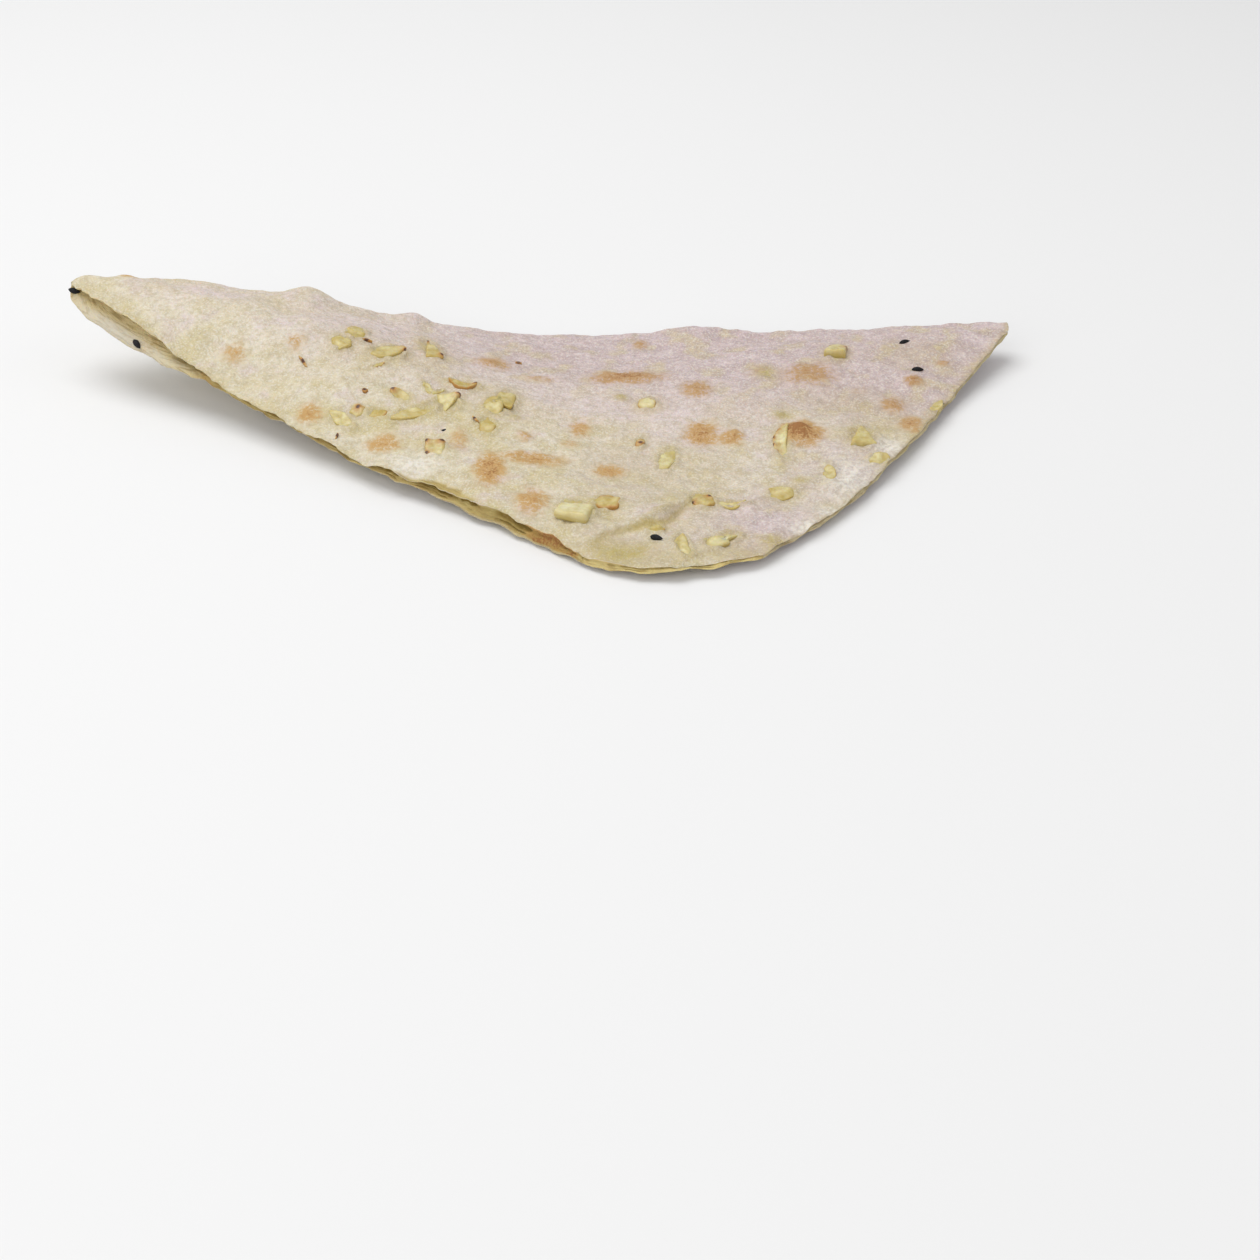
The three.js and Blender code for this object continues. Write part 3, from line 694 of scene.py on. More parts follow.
toast = np.zeros(len(bread_points))
for *blister, brown in BLISTERS:
    toast = np.maximum(toast, brown * spot(blister, TOAST_REACH) * is_upper)
draw_under = np.random.default_rng(71)
for _ in range(UNDER_SPOTS):
    spot_x, spot_y = plan(np.array(draw_under.uniform(0.04, 0.96)), np.array(draw_under.uniform(0.04, 0.96)))
    half_width = draw_under.uniform(2, 6)
    half_depth = half_width * draw_under.uniform(0.6, 1.2)
    brown = draw_under.uniform(0.4, 1.1)
    toast = np.maximum(toast, brown * spot((spot_x, spot_y, half_width, half_depth)) * is_lower)
for share, reach, brown, lowest in CUT_TOAST_PLACES:
    on_face = is_rim & (point_a == 0) & (point_level < lowest)
    toast = np.maximum(toast, brown * bell(point_b - share, reach) * on_face)

garlic_amount, garlic_reach = GARLIC_BUTTER
butter_and_shade = garlic_amount * garlic_cover(point_x, point_y, garlic_reach)
# Butter pools, and among them the patch of painted shade
for *pool, amount in BUTTER_AND_SHADE_POOLS:
    butter_and_shade = np.maximum(butter_and_shade, amount * spot(pool))
for sunken in SUNKEN_GARLIC:
    butter_and_shade = np.maximum(butter_and_shade, SUNKEN_BUTTER * spot(sunken))
from_left = point_a * row_length(point_b)
from_right = (1 - point_a) * row_length(point_b)
from_near = (1 - point_b) * column_length(point_a)
for distance, (amount, reach) in zip((from_left, from_right, from_near), EDGE_BUTTER):
    butter_and_shade = np.maximum(butter_and_shade, amount * np.exp(-distance / reach))
butter_and_shade = np.where(is_upper, butter_and_shade, 0)

fold_away, fold_behind, fold_along, _ = fold_place(plan(point_a, point_b))
# Painted shade in the crease in front of the fold, where its overhang shades the skin
crease_shade = np.exp(-fold_away / CREASE_SHADE_REACH) / (1 + np.exp((fold_behind - CREASE_SHADE_BACK) / CREASE_SHADE_STEP))
crease_shade = crease_shade * np.sin(np.pi * fold_along) ** 0.5 * is_upper

# Painted lilac light: coloured light that tints the far and right parts of the skin
behind_line = point_y - LILAC_LIGHT_LINE + LILAC_LIGHT_LINE_SLANT * (point_x - LILAC_LIGHT_LINE_MIDDLE)
lilac_light = 0.5 + 0.5 * np.tanh(behind_line / LILAC_LIGHT_LINE_REACH)
lilac_light = lilac_light / (1 + np.exp(-(point_x - LILAC_LIGHT_LEFT) / LILAC_LIGHT_LEFT_REACH))
lilac_light = np.maximum(lilac_light, FAINT_LILAC_LIGHT / (1 + np.exp(-(point_x - FAINT_LEFT) / FAINT_LEFT_REACH)))
for patch_x, patch_y, reach, amount in LILAC_LIGHT_PATCHES:
    lilac_light = np.maximum(lilac_light, amount * bell(np.hypot(point_x - patch_x, point_y - patch_y), reach))

pulled = np.exp(-from_right / PULL_REACH) * np.clip(PULL_GROWTH * point_b, 0, 1)

flour = np.zeros(len(bread_points))
for patch in FLOUR_PATCHES:
    flour = np.maximum(flour, spot(patch) ** 0.5 * is_upper)

pale = np.zeros(len(bread_points))
for *patch, amount in PALE_PATCHES:
    pale = np.maximum(pale, amount * spot(patch) * is_upper)

peel = peeled(point_a, point_b) * is_upper
crumb = np.maximum(peel, is_rim * (point_b > 0))
lip = np.zeros(len(bread_points))
# Painted shade on the cuts, and on the peeled strip beside the left cut
painted_cut_shade = LEFT_CUT_DARKNESS * peel
opened = np.zeros(len(bread_points))
streak = np.zeros(len(bread_points))
far = point_b * left_cut.length
across = from_left.copy()
# For each ring of the cuts: painted shade, deeper in the grooves, then lips, crumb, mouth and strands
for share, index in zip(RIM_SHARES, ring_index):
    inset = np.maximum(rim_inset(share), 0)
    sunk_in = np.clip(inset / blend(DARK_GROOVE, DARK_MOUTH, open_share), 0, 1)
    painted_cut_shade[index] = np.where(on_left, LEFT_CUT_DARKNESS, RIGHT_CUT_DARKNESS) + GROOVE_DARKNESS * sunk_in
    mouth_lip = open_share * (share > HALFWAY) * (inset < LIP_BAND)
    cut_lip = LEFT_LIP_PALENESS * on_left * (share > LEFT_LIP_LEVEL) + RIGHT_LIP_PALENESS * on_right
    lip[index] = np.maximum(mouth_lip, cut_lip)
    crumb[index] *= share > SKIN_LEVEL
    opened[index] = open_share
    streak[index] = open_share * (share > HALFWAY) * bell(inset - 2 * LIP_BAND, 1)
    far[index] = rim_far
    across[index] = inset + share * thickness(rim_a, rim_b)


def joined_mesh(name, points, faces, traits):
    """A smooth object from points in millimetres, with a value for each point for each trait."""
    mesh = bpy.data.meshes.new(name)
    mesh.from_pydata((points * MM).tolist(), [], faces)
    for trait, values in traits.items():
        layer = mesh.attributes.new(trait, "FLOAT", "POINT")
        layer.data.foreach_set("value", np.asarray(values, np.float32))
    mesh.shade_smooth()
    mesh.update()
    piece = bpy.data.objects.new(name, mesh)
    bpy.context.scene.collection.objects.link(piece)
    return piece


bread = joined_mesh("naan_bread", bread_points, bread_faces, {
    "toast": toast, "butter_and_shade": butter_and_shade, "crease_shade": crease_shade, "lilac_light": lilac_light, "pulled": pulled, "flour": flour,
    "crumb": crumb, "lip": lip, "painted_cut_shade": painted_cut_shade, "opened": opened, "streak": streak, "far": far,
    "across": across, "pale": pale,
})


class Wire:
    """An output of a material's nodes. Sums of wires and numbers add Math nodes."""

    def __init__(self, tree, socket=None):
        self.tree = tree
        self.socket = socket

    def node(self, kind, settings, inputs, output=0):
        """Any node: its settings, then the values or wires of its inputs."""
        made = self.tree.nodes.new(kind)
        for name, value in settings.items():
            setattr(made, name, value)
        for name, value in inputs.items():
            if isinstance(value, Wire):
                self.tree.links.new(value.socket, made.inputs[name])
            else:
                made.inputs[name].default_value = value
        return Wire(self.tree, made.outputs[output])

    def sum(self, operation, first, second):
        return self.node("ShaderNodeMath", {"operation": operation}, {0: first, 1: second})

    def __add__(self, other):
        return self.sum("ADD", self, other)

    def __sub__(self, other):
        return self.sum("SUBTRACT", self, other)

    def __rsub__(self, other):
        return self.sum("SUBTRACT", other, self)

    def __mul__(self, other):
        return self.sum("MULTIPLY", self, other)

    __radd__ = __add__
    __rmul__ = __mul__

    def trait(self, name):
        return self.node("ShaderNodeAttribute", {"attribute_name": name}, {}, "Fac")

    def noise(self, size, detail, stretch=1, turn=0):
        """Grain with lumps of about a size in millimetres, drawn out along a heading in degrees."""
        place = self.node("ShaderNodeTexCoord", {}, {}, "Object")
        if stretch > 1:
            turn_back = (0, 0, -math.radians(turn))
            turned = self.node("ShaderNodeMapping", {}, {"Vector": place, "Rotation": turn_back})
            place = self.node("ShaderNodeMapping", {}, {"Vector": turned, "Scale": (1 / stretch, 1, 1)})
        inputs = {"Vector": place, "Scale": 1 / (size * MM), "Detail": detail}
        return self.node("ShaderNodeTexNoise", {}, inputs)

    def between(self, low, high):
        """0 below low, 1 above high, and a soft step between."""
        settings = {"interpolation_type": "SMOOTHSTEP"}
        return self.node("ShaderNodeMapRange", settings, {"Value": self, "From Min": low, "From Max": high})

    def mix(self, first, second):
        """From the first colour, where this wire is 0, to the second, where it is 1."""
        return self.node("ShaderNodeMix", {"data_type": "RGBA"}, {0: self, 6: first, 7: second}, 2)

    def bump(self, strength, distance):
        inputs = {"Height": self, "Strength": strength, "Distance": distance * MM}
        return self.node("ShaderNodeBump", {}, inputs)


def new_material(name):
    """A material, its shader, and a wire that starts expressions on its nodes."""
    material = bpy.data.materials.new(name)
    material.use_nodes = True
    return material, material.node_tree.nodes["Principled BSDF"], Wire(material.node_tree)


def feed(shader, **wires):
    """Wires and numbers into the shader's sockets, whose names have _ for each space."""
    for name, value in wires.items():
        socket = shader.inputs[name.replace("_", " ")]
        if isinstance(value, Wire):
            value.tree.links.new(value.socket, socket)
        else:
            socket.default_value = value


# Colours of the skin, and then of the cuts
CREAM = (0.63, 0.55, 0.37, 1)
IVORY = (0.70, 0.635, 0.50, 1)
# Skin under the painted lilac light
LILAC_LIT_SKIN = (0.555, 0.435, 0.465, 1)
# Butter, and the painted shade in the hollow beside the big chip
BUTTERED_AND_SHADED = (0.47, 0.38, 0.13, 1)
FLOURED = (0.78, 0.74, 0.66, 1)
SHADED = (0.44, 0.37, 0.22, 1)
# Fine shade under the painted lilac light
SHADED_LILAC_LIT = (0.37, 0.28, 0.27, 1)
TAN = (0.53, 0.32, 0.115, 1)
# Toast under the painted lilac light
TAN_LILAC_LIT = (0.46, 0.28, 0.13, 1)
BROWN = (0.29, 0.12, 0.035, 1)
# Painted shade in the crease before the fold
PAINTED_CREASE_SHADE = (0.5, 0.385, 0.12, 1)
YELLOWED = (0.56, 0.47, 0.22, 1)
PINKED = (0.66, 0.55, 0.55, 1)
CRUMB = (0.63, 0.51, 0.22, 1)
# Painted shade on the cuts
CUT_SHADE = (0.24, 0.155, 0.025, 1)
CUT_TAN = (0.43, 0.265, 0.08, 1)
# Crumb inside the pocket, made paler by painted light
POCKET_CRUMB_AND_PAINTED_LIGHT = (0.86, 0.74, 0.44, 1)
LIP = (0.59, 0.54, 0.43, 1)
STRAND = (0.30, 0.20, 0.065, 1)

# Sizes of the skin's grain, in millimetres, and of the drawn-out streaks and their heading in degrees
GRAIN = 0.5
PORE = 1.3
MOTTLE = 4
TINT = 7
CLOUD = 20
STREAK = 1.4
STREAK_STRETCH = 6
RIGHT_CUT_HEADING = 60

# Strands of crumb in a millimetre along and across a cut
STRANDS_ALONG = 0.16
STRANDS_ACROSS = 1.7

baked, baked_shader, wire = new_material("baked_dough")
grain = wire.noise(GRAIN, 2)
pores = wire.noise(PORE, 3)
mottle = wire.noise(MOTTLE, 3)
clouds = wire.noise(CLOUD, 3)
tints = wire.noise(TINT, 2)
lilac_lit = wire.trait("lilac_light")
pulling = wire.trait("pulled")
drawn_out = pulling * (wire.noise(STREAK, 2, STREAK_STRETCH, RIGHT_CUT_HEADING) - 0.5)
drawn_out = drawn_out + lilac_lit * (1 - pulling) * (wire.noise(STREAK, 2, STREAK_STRETCH) - 0.5)

# The skin: tints, painted lilac light, butter with one patch of painted shade, flour and fine shade, then
# the toast and the painted crease shade over them
skin = clouds.between(0.35, 0.65).mix(CREAM, IVORY)
# Painted lilac light over the skin
skin = (lilac_lit * 0.85).mix(skin, LILAC_LIT_SKIN)
skin = (tints.between(0.5, 0.66) * 0.5).mix(skin, YELLOWED)
skin = ((1 - tints.between(0.34, 0.48)) * 0.62).mix(skin, PINKED)
skin = (wire.trait("pale") * 0.85).mix(skin, PINKED)
# Butter, and the painted shade in the hollow beside the big chip
buttered_and_shaded = wire.trait("butter_and_shade")
skin = (buttered_and_shaded * (0.5 + mottle)).mix(skin, BUTTERED_AND_SHADED)
skin = (wire.trait("flour") * 0.9).mix(skin, FLOURED)
# The fine shade and the toast take the tint of the painted lilac light
shade = lilac_lit.mix(SHADED, SHADED_LILAC_LIT)
skin = (mottle.between(0.45, 0.7) * 0.3).mix(skin, shade)
skin = (pores.between(0.4, 0.65) * 0.42).mix(skin, shade)
skin = (drawn_out.between(0.02, 0.2) * 0.3).mix(skin, shade)
skin = (grain.between(0.48, 0.66) * (0.5 - 0.35 * buttered_and_shaded)).mix(skin, FLOURED)
speckled = wire.trait("toast") * (0.45 + 0.5 * pores.between(0.3, 0.7) + 0.5 * grain.between(0.38, 0.62))
skin = (speckled.between(0.08, 0.8) * 0.95).mix(skin, lilac_lit.mix(TAN, TAN_LILAC_LIT))
skin = (speckled.between(0.75, 1.7) * 0.85).mix(skin, BROWN)
# Painted shade in the crease before the fold
skin = (wire.trait("crease_shade") * 0.95).mix(skin, PAINTED_CREASE_SHADE)

# The cuts: crumb with strands along it and painted shade on it, the pocket's crumb made paler by painted
# light, its lip, and toast
cut_place = {"X": wire.trait("far") * STRANDS_ALONG, "Y": wire.trait("across") * STRANDS_ACROSS}
along_cut = wire.node("ShaderNodeCombineXYZ", {}, cut_place)
strands = wire.node("ShaderNodeTexNoise", {}, {"Vector": along_cut, "Scale": 1, "Detail": 3})
# Painted shade darkens the crumb of the cuts, most on the left one and deep in the grooves
cut_face = wire.trait("painted_cut_shade").mix(CRUMB, CUT_SHADE)
# Painted light: the crumb inside the pocket is paler than the skin, as if light filled the pocket
inside = wire.trait("opened").mix(cut_face, POCKET_CRUMB_AND_PAINTED_LIGHT)
lipped = wire.trait("lip")
inside = lipped.mix(inside, LIP)
inside = (strands.between(0.48, 0.64) * (0.65 - 0.35 * lipped)).mix(inside, STRAND)
inside = ((1 - strands.between(0.34, 0.44)) * 0.5).mix(inside, CRUMB)
inside = (wire.trait("streak") * 0.22).mix(inside, STRAND)
inside = (speckled.between(0.1, 0.8) * 0.9).mix(inside, CUT_TAN)
inside = (speckled.between(0.7, 1.6) * 0.85).mix(inside, BROWN)
skin = wire.trait("crumb").mix(skin, inside)
feed(
    baked_shader,
    Base_Color=skin,
    Roughness=0.74 - 0.22 * buttered_and_shaded + 0.1 * grain,
    Normal=(grain * 0.35 + pores * 0.8 + mottle * 0.8 - drawn_out * 1.2).bump(0.9, 0.5),
    Subsurface_Weight=0.15,
    Subsurface_Radius=(1, 0.6, 0.3),
    Subsurface_Scale=1.5 * MM,
    Specular_IOR_Level=0.35,
)
bread.data.materials.append(baked)
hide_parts("naan_slice")
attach(bread, "root")

# The garlic: chopped cloves pressed into the dough before it was baked, so that each chip is half sunk.
# The flesh is pale yellow and waxy. Thin slices curled up at their edges, and corners that stood up
# are scorched brown.
CHIP_SIDES = 48
CHIP_SUNK = 0.8
CHIP_RAGGED = 0.16
CHIP_SPREAD = 1.1
SLICE_EDGE = 0.5
LEAF_MIDDLE = 0.55
LEAF_CURL = 0.45
LOWEST_TOP = 0.3
TOP_SLOPE = 0.12
FACET_SLOPES = (0.35, 0.8)
FACET_LIFTS = (0.05, 0.2)
FACET_SOFTNESS = 0.12
CHIP_LUMPS = 0.12
CHIP_LUMP_WAVE = 2.4
BEND_MIDDLE = 0.4
CHIP_TILT = 0.13
CORNER_RISE = 0.4
CORNER_SPREAD = 1.5
BURNT_REACH = 0.85
TOASTED_REACH = 2.4
TOASTED_AMOUNT = 0.45

# Outlines of the cuts of clove, in halves of a chip's length and width, and how often each is smoothed
CLOVE_CUTS = {
    "leaf": [(-1, 0.05), (-0.45, -0.75), (0.3, -0.95), (1, -0.05), (0.4, 0.8), (-0.4, 0.9)],
    "wedge": [(-0.95, -0.85), (1, -0.1), (-0.8, 0.95)],
    "block": [(-0.9, -0.75), (0.75, -1), (1, 0.7), (-0.8, 1)],
    "lobe": [(-1, -0.2), (-0.2, -1), (0.85, -0.65), (0.95, 0.45), (0.1, 1), (-0.75, 0.8)],
}
CUT_SMOOTHING = {"leaf": 3, "wedge": 1, "block": 1, "lobe": 2}

# Rings of a chip from its sunken base to its middle: share of the outline, share of the height
CHIP_RINGS = [
    (0.94, -1), (1.02, -0.1), (1, 0.4), (0.96, 0.72), (0.9, 0.9), (0.8, 0.98), (0.62, 1), (0.42, 1), (0.2, 1),
]

# Scorched crumbs of garlic: place, length, width, turn
SCORCHED_CRUMBS = [
    (-42.2, 10.9, 1.6, 1.6, 0), (-6.3, 36.3, 1.8, 0.9, -20), (-43.6, 30, 3.4, 0.5, -8),
    (-58, 20.5, 4.4, 0.7, -58), (-14.9, 0, 3, 0.6, -62), (-47.4, -5.6, 2.4, 0.5, 80),
]

# What a scorched crumb is: cut, height, bend, how toasted, how deep its yellow, burnt spots
CRUMB_CUT = ("leaf", 0.35, 0, 0.6, 1, ((0, 0),))

# First seeds of the random draws
CHIP_SEED = 200
CRUMB_SEED = 260

# Where rays onto the bread start, the steepest seat as a cosine, and the share of a topping that seats it
RAY_START = 100
STEEPEST_SEAT = 0.6
SEAT_SHARE = 1 / 3
UPWARD = (0, 0, 1)

bread_tree = BVHTree.FromPolygons(bread_points.tolist(), bread_faces)


def seat(place, facing, turn, half_length, half_width):
    """Where a topping lies: the frame of the bread under it, from rays against the bread around it."""
    up = Vector(facing).normalized()
    right = Vector((0, 1, 0)).cross(up).normalized()
    deep = up.cross(right)
    spin = math.radians(turn)
    along = right * math.cos(spin) + deep * math.sin(spin)
    side = up.cross(along)
    hits = []
    ends = (along * half_length, -along * half_length, side * half_width, -side * half_width)
    for offset in (Vector(), *ends):
        hit = bread_tree.ray_cast(Vector(place) + offset + RAY_START * up, -up)[0]
        hits.append(hits[0] if hit is None else hit)
    centre, right_hit, left_hit, far_hit, near_hit = hits
    normal = (right_hit - left_hit).cross(far_hit - near_hit).normalized()
    if normal.dot(up) < STEEPEST_SEAT:
        normal = up
    along = (along - normal * along.dot(normal)).normalized()
    return np.array((along, normal.cross(along), normal)), np.array(centre)


def lay(points, place, facing, turn, length, width):
    """Points of a topping moved from its own frame onto the bread."""
    axes, centre = seat(place, facing, turn, length * SEAT_SHARE, width * SEAT_SHARE)
    return points @ axes + centre


def chip_outline(cut, length, width, draw):
    """Points evenly spaced round a chip, with its corners smoothed as its cut asks."""
    corners = np.array(CLOVE_CUTS[cut])
    corners = (corners + draw.uniform(-CHIP_RAGGED, CHIP_RAGGED, corners.shape)) * (length / 2, width / 2)
    closed = np.vstack([corners, corners[:1]])
    travelled = np.concatenate([[0], np.cumsum(np.linalg.norm(np.diff(closed, axis=0), axis=1))])
    far = np.linspace(0, travelled[-1], CHIP_SIDES, endpoint=False)
    outline = np.stack([np.interp(far, travelled, axis) for axis in closed.T], axis=1)
    for _ in range(CUT_SMOOTHING[cut]):
        outline = (np.roll(outline, 1, axis=0) + outline + np.roll(outline, -1, axis=0)) / 3
    return CHIP_SPREAD * outline


def chunk_facets(width, draw):
    """A nearly level top and two sloping facets, as slopes along X and Y and a lift."""
    facets = [(draw.uniform(-TOP_SLOPE, TOP_SLOPE), draw.uniform(-TOP_SLOPE, TOP_SLOPE), 0)]
    for _ in range(2):
        heading = draw.uniform(0, 2 * np.pi)
        lean = draw.uniform(*FACET_SLOPES)
        facets.append((lean * np.cos(heading), lean * np.sin(heading), draw.uniform(*FACET_LIFTS) * width))
    return facets


def tube_faces(rings, sides):
    """Faces of stacked rings of points, flat under the first ring and drawn to a last point above."""
    faces = [tuple(range(sides - 1, -1, -1))]
    for ring in range(rings):
        for side in range(sides):
            here = ring * sides + side
            following = ring * sides + (side + 1) % sides
            if ring == rings - 1:
                faces.append((here, following, rings * sides))
            else:
                faces.append((here, following, following + sides, here + sides))
    return faces


def garlic_chip(x, y, length, width, turn, cut, height, bend, toasted, deepness, burnt, seed):
    """A chip on the bread: points, faces, and each point's scorch, height, nearness to the edge and tone."""
    draw = np.random.default_rng(seed)
    outline = chip_outline(cut, length, width, draw)
    facets = chunk_facets(width, draw)
    tilt_along, tilt_across = draw.uniform(-CHIP_TILT, CHIP_TILT, 2)
    points, scorch, lift, edge = [], [], [], []
    for scale, share in CHIP_RINGS:
        across, deep = (scale * outline).T
        if cut == "leaf":
            top = np.full(CHIP_SIDES, height * (LEAF_MIDDLE + LEAF_CURL * scale**2))
        else:
            planes = [height + raised - lean_x * across - lean_y * deep for lean_x, lean_y, raised in facets]
            top = -FACET_SOFTNESS * np.log(sum(np.exp(-plane / FACET_SOFTNESS) for plane in planes))
            top = np.maximum(top, LOWEST_TOP * height)
        top = top + CHIP_LUMPS * ripples(across, deep, CHIP_LUMP_WAVE, seed)
        burn = np.full(CHIP_SIDES, toasted * scale**3)
        for spot_along, spot_across in burnt:
            away = np.hypot(across - spot_along * length / 2, deep - spot_across * width / 2)
            top = top + CORNER_RISE * bell(away, CORNER_SPREAD * BURNT_REACH)
            browned = np.maximum(bell(away, BURNT_REACH), TOASTED_AMOUNT * bell(away, TOASTED_REACH))
            burn = np.maximum(burn, browned)
        if share < 0:
            level = np.full(CHIP_SIDES, share * CHIP_SUNK)
        elif share < 0.5 and cut == "leaf":
            level = top - SLICE_EDGE
        else:
            level = share * top
        bent = deep + bend * ((across / (length / 2)) ** 2 - BEND_MIDDLE)
        tilted = level + tilt_along * across + tilt_across * deep
        points.append(np.stack([across, bent, tilted], axis=1))
        scorch.append(burn)
        lift.append(level / height)
        edge.append(np.full(CHIP_SIDES, scale))
    points.append(points[-1].mean(axis=0, keepdims=True))
    scorch.append(scorch[-1][:1])
    lift.append(lift[-1][:1])
    edge.append(edge[-1][:1])
    placed = lay(np.vstack(points), (x, y, 0), UPWARD, turn, length, width)
    tone = np.full(len(placed), deepness)
    traits = [np.concatenate(values) for values in (scorch, lift, edge)]
    return placed, tube_faces(len(CHIP_RINGS), CHIP_SIDES), *traits, tone


def gather(parts):
    """Separate shapes as one list of points, one of faces, and one of each further value."""
    points, faces, traits = [], [], []
    start = 0
    for placed, part_faces, *values in parts:
        points.append(placed)
        faces += [tuple(start + corner for corner in face) for face in part_faces]
        traits.append(values)
        start += len(placed)
    return np.vstack(points), faces, [np.concatenate(column) for column in zip(*traits)]


chips = [garlic_chip(*row, seed=CHIP_SEED + index) for index, row in enumerate(GARLIC)]
for index, row in enumerate(SCORCHED_CRUMBS):
    chips.append(garlic_chip(*row, *CRUMB_CUT, seed=CRUMB_SEED + index))
chip_points, chip_faces, (scorch, lift, edge, tone) = gather(chips)
garlic = joined_mesh("garlic_chips", chip_points, chip_faces, {
    "scorch": scorch, "lift": lift, "edge": edge, "tone": tone,
})

GARLIC_PALE = (0.765, 0.725, 0.45, 1)
# Deep yellow of the flesh, also used for the painted shade low on the chip's sides
GARLIC_DEEP_AND_SHADE = (0.475, 0.35, 0.085, 1)
GARLIC_TOASTED = (0.44, 0.20, 0.045, 1)
GARLIC_BURNT = (0.09, 0.036, 0.016, 1)
FLESH_GRAIN = 1.2
FLESH_CLOUD = 3

clove, clove_shader, wire = new_material("baked_garlic")
flesh_grain = wire.noise(FLESH_GRAIN, 3)
flesh_clouds = wire.noise(FLESH_CLOUD, 2)
uneven_tone = flesh_grain.between(0.35, 0.7) * 0.25 + flesh_clouds.between(0.35, 0.65) * 0.3
flesh = (uneven_tone + wire.trait("tone") * 0.6).mix(GARLIC_PALE, GARLIC_DEEP_AND_SHADE)
rising = wire.trait("lift").between(0.2, 0.8)
# Painted shade, with the butter yellow of the dough round the chip: the flesh darkens low on its sides
flesh = ((1 - rising) * 0.7).mix(flesh, GARLIC_DEEP_AND_SHADE)
flesh = (rising * wire.trait("edge").between(0.6, 0.95) * 0.4).mix(flesh, GARLIC_DEEP_AND_SHADE)
scorched = wire.trait("scorch") * (0.6 + 0.8 * flesh_grain)
flesh = (scorched.between(0.12, 0.6) * 0.9).mix(flesh, GARLIC_TOASTED)
flesh = scorched.between(0.5, 0.85).mix(flesh, GARLIC_BURNT)
feed(
    clove_shader,
    Base_Color=flesh,
    Roughness=0.27 + 0.22 * flesh_grain,
    Normal=flesh_grain.bump(0.4, 0.2),
    Subsurface_Weight=0.5,
    Subsurface_Radius=(1, 0.75, 0.3),
    Subsurface_Scale=1.2 * MM,
)
garlic.data.materials.append(clove)
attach(garlic, "root")

# The nigella seeds: small black seeds with a pointed end, strewn on the dough and pressed in.
# Their coat is matt and wrinkled. One lies on the blunt nose of the left tip and one on the lower lip.
NOSEWARD = (0.24, -0.89, 0.39)
LIPWARD = (-0.45, -0.57, 0.69)

# Seeds: place, the way that the bread faces there, turn in degrees, how far it is sunk
NIGELLA = [
    ((-118.4, 47.1, 20.9), NOSEWARD, 20, 0.5), ((-100.1, 29.4, 14), LIPWARD, -75, 0.45),
    ((27.6, -50.4, 0), UPWARD, -32, 0.3), ((93.9, 32.7, 0), UPWARD, 12, 0.6),
    ((92, 46.4, 0), UPWARD, 25, 0.85), ((-22.2, -3.3, 0), UPWARD, 30, 1.4),
]
NIGELLA_LENGTH = 3.3
NIGELLA_WIDTH = 1.6
SEED_RINGS = 12
SEED_SIDES = 16
SEED_CORNERS = 0.07
SEED_WRINKLES = 0.04
FIRST_SEED = 300


def nigella_seed(place, facing, turn, sunk, seed):
    """A three-cornered drop with a wrinkled coat."""
    angle = np.linspace(0, 2 * np.pi, SEED_SIDES, endpoint=False)
    points = []
    for ring in range(SEED_RINGS):
        share = (ring + 0.25) / SEED_RINGS
        reach = np.sin(np.pi * share) ** 0.8 * (1.15 - 0.45 * share)
        wrinkles = ripples(6 * np.cos(angle), 9 * share + 6 * np.sin(angle), 3, seed)
        coat_form = 1 + SEED_CORNERS * np.cos(3 * angle) + SEED_WRINKLES * wrinkles
        side = NIGELLA_WIDTH / 2 * reach * coat_form
        along = np.full(SEED_SIDES, (share - 0.5) * NIGELLA_LENGTH)
        points.append(np.stack([along, side * np.cos(angle), side * np.sin(angle)], axis=1))
    points = np.vstack([*points, [(NIGELLA_LENGTH / 2, 0, 0)]])
    points[:, 2] += NIGELLA_WIDTH / 2 - sunk
    placed = lay(points, place, facing, turn, NIGELLA_LENGTH, NIGELLA_WIDTH)
    return placed, tube_faces(SEED_RINGS, SEED_SIDES)


seeds = [nigella_seed(*row, seed=FIRST_SEED + index) for index, row in enumerate(NIGELLA)]
seed_points, seed_faces, _ = gather(seeds)
nigella = joined_mesh("nigella_seeds", seed_points, seed_faces, {})

SEED_BLACK = (0.006, 0.006, 0.008, 1)
SEED_GREY = (0.018, 0.017, 0.019, 1)
COAT_GRAIN = 0.35

coat, coat_shader, wire = new_material("nigella_coat")
coat_grain = wire.noise(COAT_GRAIN, 2)
feed(
    coat_shader,
    Base_Color=coat_grain.between(0.4, 0.7).mix(SEED_BLACK, SEED_GREY),
    Roughness=0.55 + 0.2 * coat_grain,
    Normal=coat_grain.bump(0.5, 0.12),
    Specular_IOR_Level=0.25,
)
nigella.data.materials.append(coat)
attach(nigella, "root")

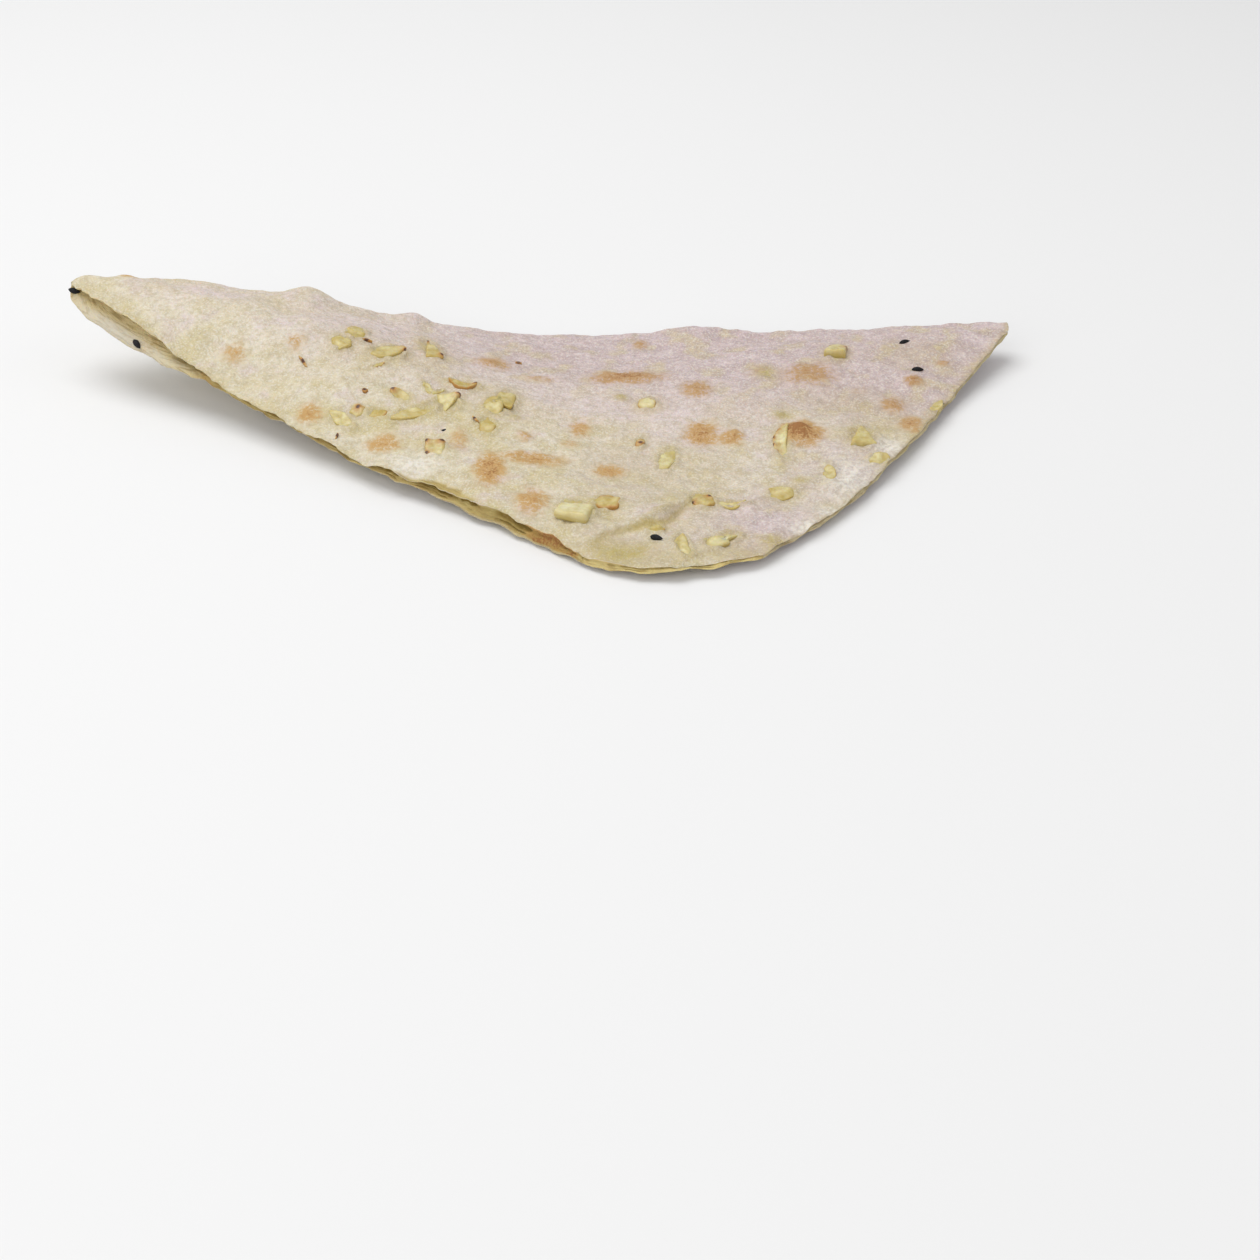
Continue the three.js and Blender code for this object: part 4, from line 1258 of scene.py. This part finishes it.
# The studio: a plain pale floor, one large soft lamp above and to the left, weaker ones in front and at
# the right, and the camera a little over half a metre away, looking down on the slice.
FLOOR_SIDE = 12
FLOOR_DROP = 0.2 * MM
FLOOR_GREY = (0.82, 0.82, 0.82, 1)
FLOOR_ROUGHNESS = 0.9
CAMERA_PLACE = (0.0218, -0.4782, 0.2479)
CAMERA_PITCH = 58
CAMERA_LENS = 64
WORLD_LIGHT = 0.45

# Lamps: name, place, size, power
LAMPS = [
    ("key", (-0.3, 0.2, 1.0), 0.9, 7.2),
    ("fill", (-0.5, -0.9, 0.6), 1.0, 4.6),
    ("side", (0.9, -0.3, 0.6), 1.0, 1.4),
]

floor_mesh = bpy.data.meshes.new("floor")
floor_ends = (-FLOOR_SIDE / 2, FLOOR_SIDE / 2)
floor_corners = [(x, y, -FLOOR_DROP) for y in floor_ends for x in floor_ends]
floor_mesh.from_pydata(floor_corners, [], [(0, 1, 3, 2)])
floor = bpy.data.objects.new("floor", floor_mesh)
bpy.context.scene.collection.objects.link(floor)
paper, paper_shader, _ = new_material("floor_paper")
feed(paper_shader, Base_Color=FLOOR_GREY, Roughness=FLOOR_ROUGHNESS)
floor.data.materials.append(paper)

for name, place, size, power in LAMPS:
    lamp = bpy.data.lights.new(name, "AREA")
    lamp.size = size
    lamp.energy = power
    stand = bpy.data.objects.new(name, lamp)
    stand.location = place
    stand.rotation_euler = (-Vector(place)).to_track_quat("-Z", "Y").to_euler()
    bpy.context.scene.collection.objects.link(stand)

world = bpy.data.worlds.new("studio")
world.use_nodes = True
world.node_tree.nodes["Background"].inputs["Color"].default_value = (1, 1, 1, 1)
world.node_tree.nodes["Background"].inputs["Strength"].default_value = WORLD_LIGHT
bpy.context.scene.world = world
bpy.context.scene.view_settings.view_transform = "Standard"

lens = bpy.data.cameras.new("camera")
lens.lens = CAMERA_LENS
lens.clip_start = 0.01
camera = bpy.data.objects.new("camera", lens)
camera.location = CAMERA_PLACE
camera.rotation_euler = (math.radians(CAMERA_PITCH), 0, 0)
bpy.context.scene.collection.objects.link(camera)
bpy.context.scene.camera = camera

bpy.context.view_layer.update()
